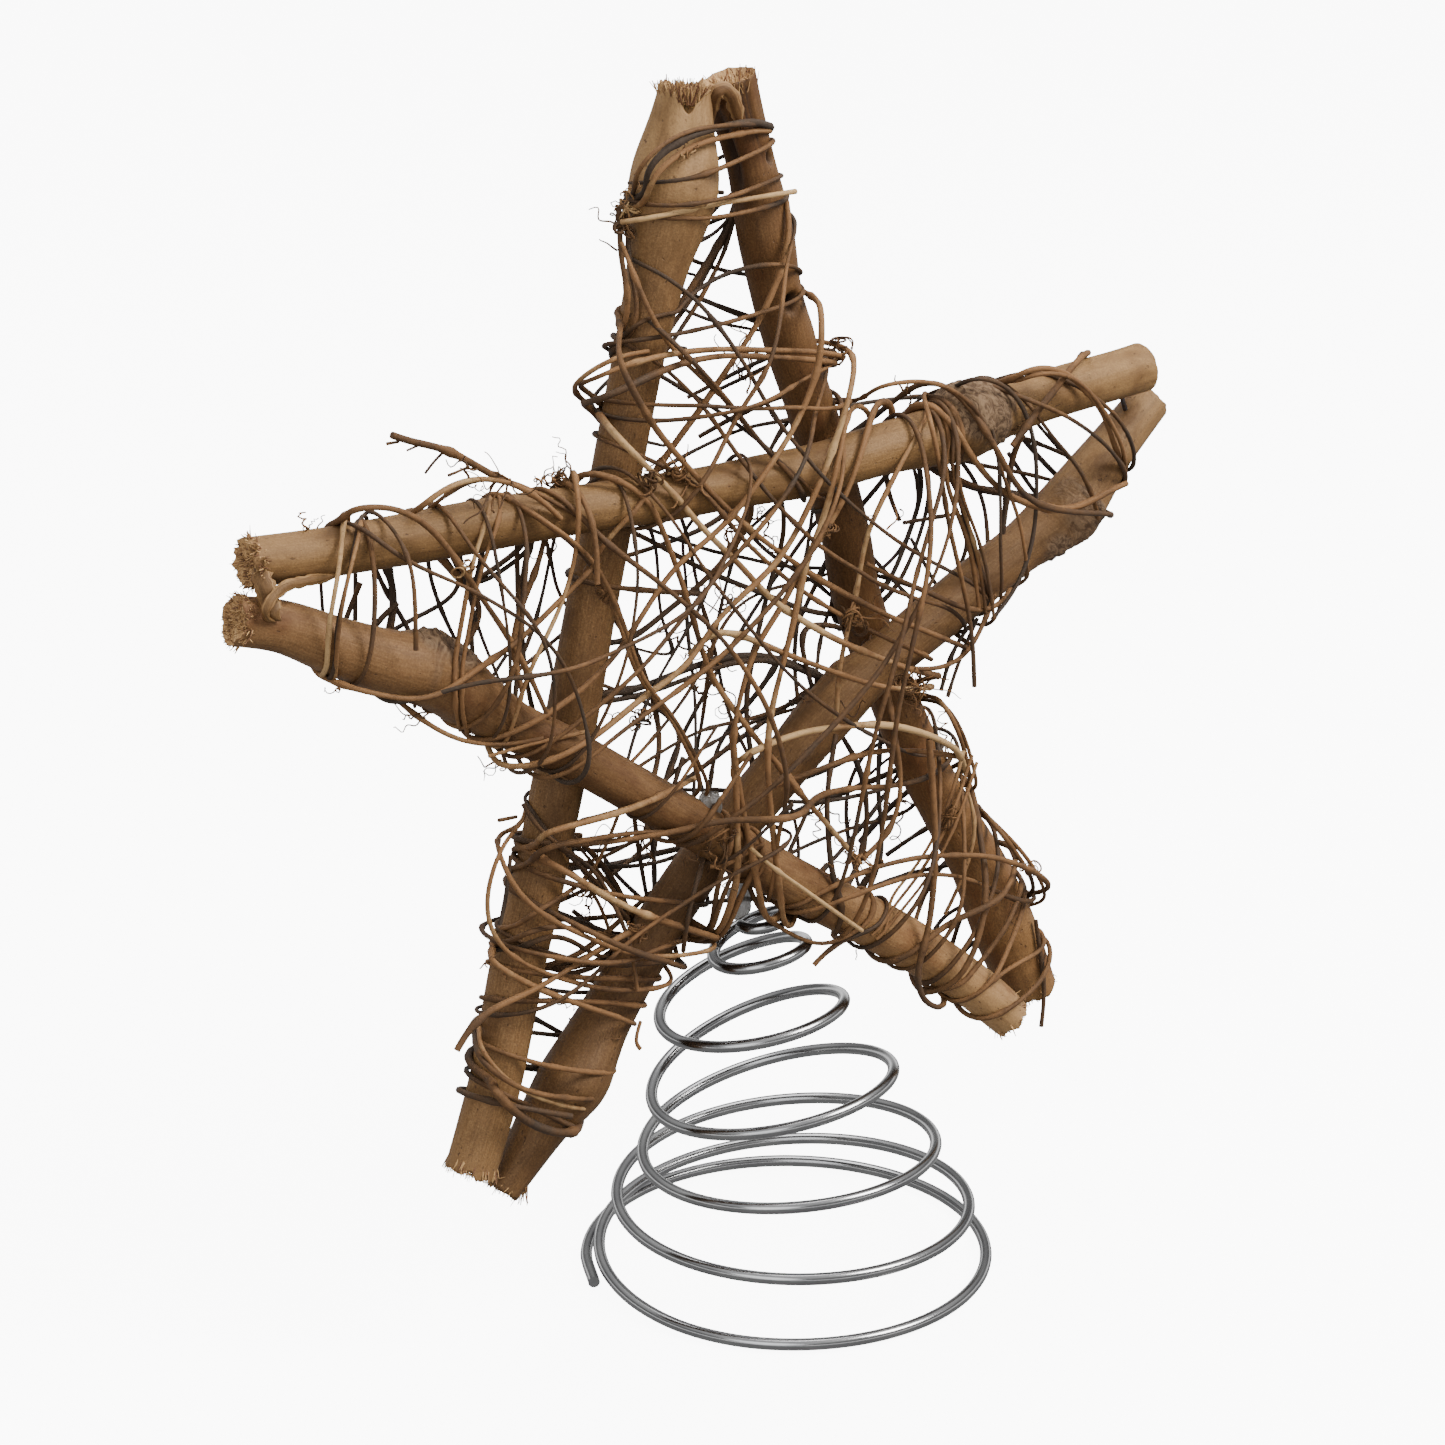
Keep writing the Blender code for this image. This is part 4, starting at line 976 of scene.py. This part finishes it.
    (0.46, 0.44, 10, 1, "[585,858 620,850 680,838]"),
    (0.52, 0.44, 10, 1, "[654,820 652,850 656,900 662,940]"),
    (0.46, 0.40, 9, 1, "[634,820 642,870 652,905]"),
    (0.60, 0.44, 9, 1, "[545,908 580,922 612,936 640,940]"),
    (0.56, 0.40, 9, 2, "[540,975 575,962 610,945 640,935]"),
    (0.50, 0.40, 9, 1, "[540,985 570,992 610,995]"),
    (0.52, 0.40, 9, 1, "[585,950 596,975 602,1000]"),
    (0.48, 0.40, 7, 1, "[505,1066 535,1070 560,1072]"),
    (0.75, 0.46, 9, 1, "[940,474 966,484 1000,492 1028,497 1075,505]"),
    (0.62, 0.44, -6, 1, "<946,440 952,474 964,512 971,546 975,600>"),
    (0.56, 0.44, 4, 1, "[945,450 955,480 966,516 972,552 985,600]"),
    (0.50, 0.45, -7, 1,
     "524,804/-5 534,826 566,852 594,868/-4 612,896/-4 624,924/-6 634,960/-8 638,992/-8"),
    (0.48, 0.50, -3, 1, "<530,806 546,832 576,862 600,880 616,902 655,935]"),
    (0.44, 0.60, 2, 1, "[576,826 584,850 596,868 612,890 650,925]"),
    (0.46, 0.60, 6, 1, "[545,872 600,862 622,848 650,834 690,815]"),
    (0.40, 0.60, 4, 1, "[545,850 590,884 604,906 612,935 640,965]"),
    (0.46, 0.55, -8, 1, "<500,924 526,916 566,892/-5 590,872/0 640,800]"),
    (0.52, 0.50, -8, 1, "<502,938 526,930 560,924/-5 596,932/2 645,945]"),
    (0.48, 0.42, -8, 1, "<504,946 536,937 566,938/-4 584,948/2 612,962/4 640,965]"),
    (0.60, 0.56, 5, 1, "[530,984 566,962 578,956 600,940 614,926 670,890]"),
    (0.60, 0.52, 7, 1, "[525,988 572,974 596,968 614,962 645,955]"),
    (0.72, 0.66, -14, 1, "733,735/-10 736,770 737,815 739,855 736,888/-12 725,920/-10 712,942>"),
    (0.60, 0.46, -13, 1, "<711,832 714,860 716,888/-11 715,911/-9 706,936>"),
    (0.58, 0.52, -13, 1, "<728,842 727,865 724,890/-11 717,915/-9 704,944>"),
    (0.62, 0.58, -13, 1, "<744,850 744,872 741,893/-11 734,915/-9 716,946>"),
    (0.55, 0.72, -14, 1, "712,866/-11 722,872 733,868 741,858 745,848 752,842 760,846/-12"),
    (0.46, 0.66, -13, 1, "<738,880 752,874 767,871 778,864 772,855 760,858/-12"),
    (0.52, 0.44, -10, 1, "<752,905 775,926 800,940 822,949 838,940 850,922>"),
    (0.52, 0.42, -9, 1, "815,965/-8 826,950 840,938 856,926 874,915>"),
    (0.95, 0.42, -8, 1, "<480,1066 488,1085 500,1100 515,1112 530,1124 548,1131 565,1134 586,1124>"),
    (0.85, 0.46, 4, 1, "[386,545 392,575 397,602 404,650]"),
    (0.62, 0.46, 3, 1, "397,604 386,614 374,620 367,628 369,636"),
    (0.72, 0.48, 5, 1, "[432,545 446,566 462,580 482,600 500,640]"),
)


def stick_by(place):
    """The stick seen nearest to a place, where along it, and the place moved level with it."""
    way = unit(place - EYE)
    found = []
    for stick in sticks.values():
        reach = stick.centre - EYE
        apart = np.linalg.norm(reach - np.outer(reach @ way, way), axis=1)
        i = int(apart.argmin())
        found.append((apart[i], stick, i, EYE + way * (reach[i] @ way)))
    return min(found, key=lambda entry: entry[0])[1:]


# How far off a stick's skin a strand lies, and the degrees from its front that the strand passes
# on its way round, climbing a little more at each
SKIN_GAP = 0.2 * MM
BEND_TURNS = (35, 65, 95, 125, 150)
BEND_CLIMB = 1.3


def bent_round(points, radius):
    """Carries the end of a path over the edge of the nearest stick and in behind it."""
    stick, i, last = stick_by(points[-1])
    before = EYE + unit(points[-2] - EYE) * np.linalg.norm(last - EYE)
    points = points[:-1] + [last]
    reach = stick.radius[i] + radius + SKIN_GAP
    slide = unit(last - before) @ stick.axis[i]
    travel = unit(last - before) + (last - stick.centre[i]) / reach
    travel = travel - stick.axis[i] * (travel @ stick.axis[i])
    travel = unit(travel - stick.front[i] * (travel @ stick.front[i]))
    arc = []
    offset = (last - stick.centre[i]) @ travel / reach
    for n, turn in enumerate(BEND_TURNS):
        a = math.radians(turn)
        if turn < 90 and math.sin(a) < offset + 0.1:
            continue
        ring = stick.front[i] * math.cos(a) + travel * math.sin(a)
        arc.append(stick.centre[i] + ring * reach + stick.axis[i] * slide * (n - 1) * BEND_CLIMB * MM)
    inner = arc[-1] - travel * 2 * MM
    while len(points) > 2 and np.linalg.norm(points[-1] - stick.centre[i]) < reach + 1.5 * MM:
        points = points[:-1]
    return list(points) + arc + [inner]


def tucked(points, radius):
    """Lays the end of a path that runs behind the star against the rear of the nearest stick."""
    stick, i, _ = stick_by(points[-1])
    return points[:-1] + [stick.centre[i] - stick.front[i] * (stick.radius[i] + radius + SKIN_GAP)]


# How far apart stems that run side by side are in the photo, how much thinner all but the first of
# them are, and how many sides each has
SIDE_BY_SIDE = 7.0 * np.array([1.0, 0.6])
SECOND_STEM = 0.85
THIN_SIDES = 7


def along_photo(row, copy, rng):
    """The path of one row of the table, shifted a little for each stem that runs beside it."""
    radius, tint, depth, _, text = row
    start, end = text[0], text[-1]
    spread = rng.uniform(-1.2, 1.2) + copy * rng.uniform(1.0, 2.0)
    shift = SIDE_BY_SIDE * copy + rng.uniform(-1.5, 1.5, 2)
    points = []
    for place in text.strip("<>[]").split():
        place, _, own = place.partition("/")
        x, y = place.split(",")
        level = (float(own) if own else depth) - abs(spread)
        points.append(seen_at(np.array([float(x), float(y)]) + shift, level * MM))
    ends = {">": bent_round, "]": tucked, "<": bent_round, "[": tucked}
    if end in ends:
        points = ends[end](points, radius * MM)
    if start in ends:
        points = ends[start](points[::-1], radius * MM)[::-1]
    return np.array(points)


seen_rng = np.random.default_rng(15)
seen_stems = []
for row in SEEN_VINES:
    for copy in range(row[3]):
        path = along_photo(row, copy, seen_rng)
        stem = row[0] * (SECOND_STEM if copy else 1.0) * MM
        seen_stems.append(grown(path, stem, row[1] + seen_rng.uniform(-0.14, 0.14), seen_rng, 0.12))
strand_piece("thin_vines", seen_stems, THIN_SIDES, vine_finish, "vine_01")


# Tendrils: hair-thin curls that the vines climbed with, dried into corkscrews. Each still grows
# from the stem or stick that it held on to, and some have wound themselves up into tight nests.

# Each row: photo point, depth in mm, how many, length in mm and how tightly they curl
CURLS = (
    (606, 224, 1, 3, 7, 1.0), (612, 255, 1, 1, 4, 0.8), (690, 157, -9, 3, 3, 1.2),
    (510, 468, -8, 8, 11, 0.9), (545, 462, -8, 7, 7, 1.2), (470, 475, -8, 3, 6, 1.0),
    (312, 522, -8, 4, 4, 1.8), (337, 702, -10, 2, 6, 1.0), (430, 715, -8, 4, 8, 1.0),
    (690, 478, -14, 6, 9, 0.9), (858, 625, -8, 4, 7, 1.2), (846, 362, -4, 3, 4, 1.4),
    (745, 385, 6, 7, 11, 0.9), (775, 168, 2, 1, 4, 1.0), (720, 695, 4, 5, 11, 1.4),
    (800, 705, 0, 4, 12, 1.0), (915, 682, -12, 6, 7, 1.2), (850, 862, -8, 5, 9, 1.2),
    (830, 810, 6, 5, 10, 1.4), (646, 830, 4, 5, 12, 1.4), (700, 650, 8, 5, 12, 1.2),
    (760, 520, 8, 5, 11, 1.2), (720, 610, 10, 5, 13, 1.0), (940, 740, 0, 4, 8, 1.2),
    (1010, 440, -6, 2, 4, 1.2), (1030, 868, -8, 2, 3, 1.0), (500, 760, 0, 4, 6, 1.0),
    (500, 965, -4, 3, 3, 1.2), (560, 1012, 0, 3, 5, 1.0), (620, 1030, 0, 2, 5, 1.0),
    (862, 958, -8, 2, 3, 1.2), (590, 890, 4, 8, 9, 1.3), (905, 395, -8, 4, 4, 1.2),
    (895, 520, -8, 3, 7, 1.2), (550, 560, 4, 3, 9, 1.0), (730, 550, 6, 4, 10, 1.0),
    (640, 715, 6, 5, 7, 1.6), (900, 800, 4, 4, 8, 1.2), (715, 845, -12, 5, 8, 1.4),
)

# Each row: photo point of a nest, depth in mm, how many windings, their size in mm, and their tint
NESTS = (
    (627, 206, 0, 12, 2.0, 1.00), (620, 230, 1, 5, 1.4, 0.45), (600, 596, -14, 7, 1.1, 0.45),
    (650, 482, -15, 9, 1.7, 0.45), (682, 472, -15, 8, 1.6, 0.65), (834, 530, -15, 9, 1.4, 0.50),
    (853, 618, -8, 7, 2.2, 0.60), (862, 640, -8, 4, 1.8, 0.50), (915, 684, -13, 14, 2.6, 0.55),
    (951, 815, -11, 8, 1.8, 0.60), (858, 864, -12, 8, 1.4, 0.85), (688, 156, -11, 4, 1.0, 1.00),
    (468, 567, -15, 4, 1.3, 0.80), (640, 930, -8, 6, 2.0, 0.60), (1030, 868, -9, 5, 1.4, 0.70),
    (640, 716, 4, 5, 1.6, 0.15), (810, 818, 4, 3, 1.2, 0.20), (838, 345, -4, 6, 2.0, 0.30),
    (555, 478, -8, 7, 1.8, 0.45), (800, 698, 2, 4, 1.3, 0.25), (713, 842, -12, 7, 2.8, 0.50),
)


carrier_stems = vine_stems + seen_stems
CARRIERS = np.concatenate([CORE, *(stem[0] for stem in carrier_stems)])
CARRIER_RADIUS = np.concatenate([CORE_RADIUS, *(stem[1] for stem in carrier_stems)])


def seated(place, depth):
    """The skin of the stick or stem that is seen nearest to a photo point, near a depth."""
    way = sight(place)
    reach = CARRIERS - EYE
    far = reach @ way
    off = np.linalg.norm(reach - np.outer(far, way), axis=1)
    i = (np.maximum(off - CARRIER_RADIUS, 0.0) + 0.25 * abs(depth_of(CARRIERS) - depth)).argmin()
    here = EYE + way * (far[i] - math.sqrt(max(CARRIER_RADIUS[i] ** 2 - off[i] ** 2, 0.0)))
    return CARRIERS[i] + unit(here - CARRIERS[i]) * CARRIER_RADIUS[i]


# Steps in mm along a curl, points in a nest's winding, sides, and radii in mm at root and tip
CURL_STEP = 0.45
NEST_POINTS = 34
CURL_SIDES = 5
CURL_RADII = (0.25, 0.13)


def curl(start, way, length, tightness, rng):
    """A corkscrew that opens away from its root."""
    t = np.linspace(0.0, 1.0, max(int(length / CURL_STEP), 12))
    side = unit(np.cross(way, rng.normal(size=3)))
    over = np.cross(way, side)
    turns = rng.uniform(0.6, 2.4) * tightness
    wide = rng.uniform(0.5, 1.5) * MM * (0.3 + t) * min(length / 9, 1.4)
    angle = 2 * math.pi * turns * t ** 1.4
    sway = rng.normal(0, 1.0, (len(t), 3))
    for _ in range(5):
        sway[1:-1] = (sway[:-2] + sway[1:-1] + sway[2:]) / 3
    drift = np.cumsum(sway, axis=0) * 0.16 * MM
    line = start + way * (t * length * MM)[:, None] + drift
    line = line + side * (wide * (np.cos(angle) - 1))[:, None]
    return line + over * (wide * np.sin(angle))[:, None]


curl_rng = np.random.default_rng(101)
curls = []
for x, y, depth, count, length, tightness in CURLS:
    for _ in range(count):
        place = np.array([x, y]) + curl_rng.normal(0, 5, 2)
        root = seated(place, (depth + curl_rng.normal(0, 1.5)) * MM)
        way = unit(root - STAR_MIDDLE) * 0.7 + unit(curl_rng.normal(size=3))
        line = curl(root, unit(way), length * curl_rng.uniform(0.5, 1.2), tightness, curl_rng)
        thick = np.linspace(*CURL_RADII, len(line)) * MM * curl_rng.uniform(0.7, 1.2)
        curls.append((line, thick, curl_rng.uniform(0.3, 0.8)))
for x, y, depth, count, size, tint in NESTS:
    for _ in range(count):
        middle = seated(np.array([x, y]) + curl_rng.normal(0, 4, 2), depth * MM)
        middle += curl_rng.normal(0, 0.3, 3) * size * MM
        across = unit(curl_rng.normal(size=3))
        over = unit(np.cross(across, curl_rng.normal(size=3)))
        drift = np.cross(across, over) * curl_rng.uniform(-1.2, 1.2)
        t = np.linspace(0, 1, NEST_POINTS)[:, None]
        angle = 2 * math.pi * t * curl_rng.uniform(0.8, 2.0)
        wide = size * curl_rng.uniform(0.5, 1.0)
        wide = wide * (1 + 0.25 * np.sin(angle * 0.7 + curl_rng.uniform(0, 6)))
        line = middle + MM * (wide * (across * np.cos(angle) + over * np.sin(angle)) + drift * t)
        curls.append((line, curl_rng.uniform(0.14, 0.24) * MM, tint + curl_rng.uniform(-0.2, 0.2)))
strand_piece("curled_tendrils", curls, CURL_SIDES, vine_finish, "vine_03")


# Torn fibres: the straw-coloured bristles of wood left where a stick was broken instead of sawn.
# They stand in the hollow of its end and splay a little towards the rim.

# How deep a bristle is rooted in mm, its points and sides, and its radii in mm at root and tip
BRISTLE_ROOT = 1.2
BRISTLE_POINTS = 7
BRISTLE_SIDES = 4
BRISTLE_RADII = (0.20, 0.07)

# Each row: stick, end, how many, longest in mm, and how far they splay
BRISTLES = (
    ("A", 0, 420, 0.4, 0.6), ("A", -1, 340, 0.3, 0.4), ("B", 0, 110, 0.3, 0.6),
    ("B", -1, 200, 0.5, 0.7), ("C", 0, 480, 0.5, 1.3), ("D", 0, 480, 0.5, 1.4),
    ("D", -1, 220, 0.5, 0.7), ("E", -1, 100, 0.5, 0.6),
)
straw = Finish("torn_fibre", (0.55, 0.36, 0.17), 0.75)
straw_tint = straw.attribute("tint")
straw_fleck = straw.noise(straw.add("ShaderNodeTexCoord", {}, {}, "Object"), 1500.0)
straw_level = (straw_tint + 0.5 * (straw_fleck - 0.5)).step(0.1, 0.9)
straw.put("Base Color", straw.mix(straw_level, (0.11, 0.044, 0.014), (0.40, 0.235, 0.095)))
bristle_rng = np.random.default_rng(77)
bristles = []
for key, end, count, longest, splay in BRISTLES:
    stick = sticks[key]
    way = -stick.axis[0] if end == 0 else stick.axis[-1]
    _, hollow, drawn, _ = ENDS[key][end]
    sunk = hollow - drawn + BRISTLE_ROOT
    reach = hollow + BRISTLE_ROOT
    for _ in range(count):
        turn = bristle_rng.uniform(0, 2 * math.pi)
        share = math.sqrt(bristle_rng.uniform(0, 0.95))
        out = math.cos(turn) * stick.front[end] + math.sin(turn) * stick.side[end]
        root = stick.centre[end] + out * stick.radius[end] * share - way * sunk * MM
        long = (reach + longest * bristle_rng.uniform(0.25, 1.0) ** 1.5) * MM
        lean = unit(way + splay * bristle_rng.normal(0, 0.45, 3) + out * splay * share * 0.35)
        t = np.linspace(0, 1, BRISTLE_POINTS)[:, None]
        bow = unit(bristle_rng.normal(size=3)) * long * bristle_rng.uniform(0.05, 0.35)
        line = root + lean * long * t + bow * t ** 2
        thick = np.linspace(*BRISTLE_RADII, BRISTLE_POINTS) * MM * bristle_rng.uniform(0.7, 1.5)
        bristles.append((line, thick, bristle_rng.uniform(0, 1)))
strand_piece("torn_fibres", bristles, BRISTLE_SIDES, straw, "stick_top_to_lower_left")


# Loose bark: thin strips that have come away but still hang on. One bridges the left point's two
# ends, one curls off the long cross stick, and one folds over the gap at the top point.
STRIP_WAYS = 9
STRIP_STEP = 0.5 * MM
STRIP_THICK = 0.35 * MM

# Each row: name, the stick it belongs to, its width in mm, how cupped it is and how much darker it is
# made, and the photo points and depths in mm along it
STRIPS = (
    ("hanging_strip", "C", 4.2, 0.6, 0.8, (
        (256, 566, -8), (262, 580, -10), (267, 592, -11), (270, 604, -11), (274, 614, -12),
        (281, 621, -12))),
    ("peeling_curl", "C", 2.2, 0.9, 0.65, (
        (338, 575, -9), (319, 579, -10), (302, 582, -11), (287, 586, -12), (276, 594, -12.5),
        (269, 603, -13), (266, 612, -13), (269, 619, -12.5), (276, 622, -12))),
    ("folded_flap", "B", 3.2, 0.7, 0.7, (
        (712, 124, 0), (711, 110, -2), (713, 99, -3.5), (718, 92, -4.5), (725, 90, -5), (731, 96, -5),
        (735, 106, -4.5), (738, 118, -4), (741, 130, -3.5))),
)


def bark_strip(name, key, width, cup, darkening, route):
    """A thin cupped strip of bark along a route, with ribs along it and ragged edges."""
    middle = flowing(np.array([seen_at((x, y), depth * MM) for x, y, depth in route]), STRIP_STEP)
    axis = unit(np.gradient(middle, axis=0))
    across = unit(np.cross(axis, unit(EYE - middle)))
    out = np.cross(across, axis)
    spread = np.linspace(-1.0, 1.0, STRIP_WAYS)
    share = np.linspace(0.0, 1.0, len(middle))
    wide = width / 2 * MM * np.clip(4 * share + 0.35, 0, 1) * np.clip(4 * (1 - share) + 0.2, 0, 1)
    outer = []
    for i, place in enumerate(middle):
        for k, way in enumerate(spread):
            tear = 1 + 0.35 * noise.noise(Vector((way * 3, share[i] * 14, width))) * abs(way)
            rib = 0.12 * MM * noise.noise(Vector((k * 2.3, share[i] * 5, width)))
            fold = -cup * (way * tear) ** 2 * width * 0.35 * MM
            outer.append(place + across[i] * way * tear * wide[i] + out[i] * (fold + rib))
    outer = np.array(outer)
    inner = outer - np.repeat(out, STRIP_WAYS, axis=0) * STRIP_THICK
    rows = len(middle)
    faces = []
    for side, flip in ((0, False), (rows * STRIP_WAYS, True)):
        for i in range(rows - 1):
            for k in range(STRIP_WAYS - 1):
                a = side + i * STRIP_WAYS + k
                corner = (a, a + 1, a + STRIP_WAYS + 1, a + STRIP_WAYS)
                faces.append(corner[::-1] if flip else corner)
    # The edge all the way round, whose steps join the outer side to the inner one
    rim = list(range(STRIP_WAYS)) + [i * STRIP_WAYS + STRIP_WAYS - 1 for i in range(1, rows)]
    rim += list(range(rows * STRIP_WAYS - 2, (rows - 1) * STRIP_WAYS - 1, -1))
    rim += [i * STRIP_WAYS for i in range(rows - 2, 0, -1)]
    for a, b in zip(rim, rim[1:] + rim[:1]):
        faces.append((b, a, a + rows * STRIP_WAYS, b + rows * STRIP_WAYS))
    mesh = bpy.data.meshes.new(name)
    mesh.from_pydata(np.concatenate([outer, inner]).tolist(), [], faces)
    grain = np.zeros((2 * rows * STRIP_WAYS, 3), np.float32)
    grain[:, 0] = np.tile(spread, 2 * rows) * width / 2 * MM
    grain[:, 2] = np.tile(np.repeat(lengths_along(middle), STRIP_WAYS), 2)
    mark_grain(mesh, grain)
    mark(mesh, "torn", np.tile(np.where(abs(spread) > 0.7, 0.45, 0.05), 2 * rows))
    mark(mesh, "wear_and_shade", np.full(2 * rows * STRIP_WAYS, darkening))
    face_outwards(mesh)
    mesh.materials.append(wood_finishes[key].material)
    add_piece(name, mesh, sticks[key].node)


for strip in STRIPS:
    bark_strip(*strip)


# The spring: one length of bright drawn steel wire wound into a cone. It stands on its widest
# turn, and its thin end is glued under the crossing of two sticks.
steel = Finish("drawn_steel", (0.20, 0.20, 0.20), 0.3, 1.0)
steel_place = steel.add("ShaderNodeTexCoord", {}, {}, "Object")
scuff = steel.noise(steel_place, 90.0, 2.0, 0.5)
steel.put("Base Color", steel.mix(scuff.step(0.3, 0.75), (0.24, 0.24, 0.245), (0.31, 0.31, 0.31)))
steel.put("Roughness", 0.17 + 0.05 * scuff)

# The solid's wire is six-sided and stands on a flat side, so a round wire's middle lies higher
WIRE_RADIUS = 1.32 * MM
WIRE_LIFT = np.array([0.0, 0.0, 0.20 * MM])
WIRE_STEP = 0.9 * MM
WIRE_SIDES = 16
WIRE_FOOT = (-0.035, 0.012, 0.0)
wire, _ = rings_of("spring", WIRE_FOOT)
wire_line = flowing(wire + WIRE_LIFT, WIRE_STEP)
strand_piece("wire_spring", [(wire_line, WIRE_RADIUS, 1.0)], WIRE_SIDES, steel, "spring", "spring")


# The nail: a thin dark steel nail with a little rust, driven through both sticks at the right
# point. Its bare shank shows where it crosses the gap between them.

# How far the nail runs on inside each stick
NAIL_SPARE = 2.5 * MM
NAIL_SIDES = 14
nail_steel = Finish("dark_nail", (0.10, 0.10, 0.11), 0.42, 1.0)
nail_place = nail_steel.add("ShaderNodeTexCoord", {}, {}, "Object")
rust = nail_steel.noise(nail_place, 1800.0).step(0.45, 0.7)
nail_steel.put("Base Color", nail_steel.mix(rust, (0.11, 0.11, 0.12), (0.10, 0.06, 0.04)))
nail, nail_radius = rings_of("tip_nail", (0.1, 0.0, 0.2))
spare = unit(nail[-1] - nail[0]) * NAIL_SPARE
shank = (np.linspace(nail[0] - spare, nail[-1] + spare, 9), float(nail_radius.mean()), 0.0)
strand_piece("nail_shank", [shank], NAIL_SIDES, nail_steel, "tip_nail", "tip_nail")


# The glue: clear hot glue, set cloudy. A lump of it fixes the spring's thin end under the crossing
# of two sticks, and a smaller patch has run out on top of that crossing.
glue = Finish("set_glue", (0.34, 0.29, 0.24), 0.18)
cloud = glue.noise(glue.add("ShaderNodeTexCoord", {}, {}, "Object"), 500.0, 3.0)
glue.put("Base Color", glue.mix(cloud.step(0.35, 0.7), (0.11, 0.095, 0.08), (0.15, 0.135, 0.12)))
glue.put("Alpha", 0.9)


def blob(name, middle, size, seed, slot, *nodes):
    """A rounded lump with a gently uneven skin."""
    work = bmesh.new()
    bmesh.ops.create_icosphere(work, subdivisions=5, radius=1.0)
    for vertex in work.verts:
        way = vertex.co.normalized()
        swell = 1 + 0.22 * noise.noise(way * 1.6 + Vector((seed, 0, 0)))
        swell += 0.07 * noise.noise(way * 5 + Vector((0, seed, 0)))
        vertex.co = Vector([way[k] * swell * size[k] + middle[k] for k in range(3)])
    mesh = bpy.data.meshes.new(name)
    work.to_mesh(mesh)
    work.free()
    mesh.shade_smooth()
    mesh.materials.append(glue.material)
    add_piece(name, mesh, slot, *nodes)


glue_low, glue_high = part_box("glue_lump")
glue_middle = (glue_low + glue_high) / 2
glue_half = (glue_high - glue_low) / 2

# How much of its solid's width and height the lump fills
GLUE_ROUND = 0.6
GLUE_TALL = 0.9
glue_size = (glue_half.x * GLUE_ROUND, glue_half.y * GLUE_ROUND, glue_half.z * GLUE_TALL)
blob("hot_glue_lump", glue_middle, glue_size, 3.0, "glue_lump", "glue_lump")

# The photo point where the patch lies, and half its size along each axis
PATCH_PLACE = (712, 800)
PATCH_SIZE = (3.1 * MM, 1.6 * MM, 3.5 * MM)
patch_stick = sticks["D"]
patch_at, patch_turn = patch_stick.seen(PATCH_PLACE)
ring = int(np.searchsorted(patch_stick.along, patch_at))
patch_out = math.cos(patch_turn) * patch_stick.front[ring]
patch_out = patch_out + math.sin(patch_turn) * patch_stick.side[ring]
patch_middle = patch_stick.centre[ring] + patch_out * patch_stick.radius[ring]
blob("hot_glue_patch", patch_middle, PATCH_SIZE, 9.0, "glue_lump")
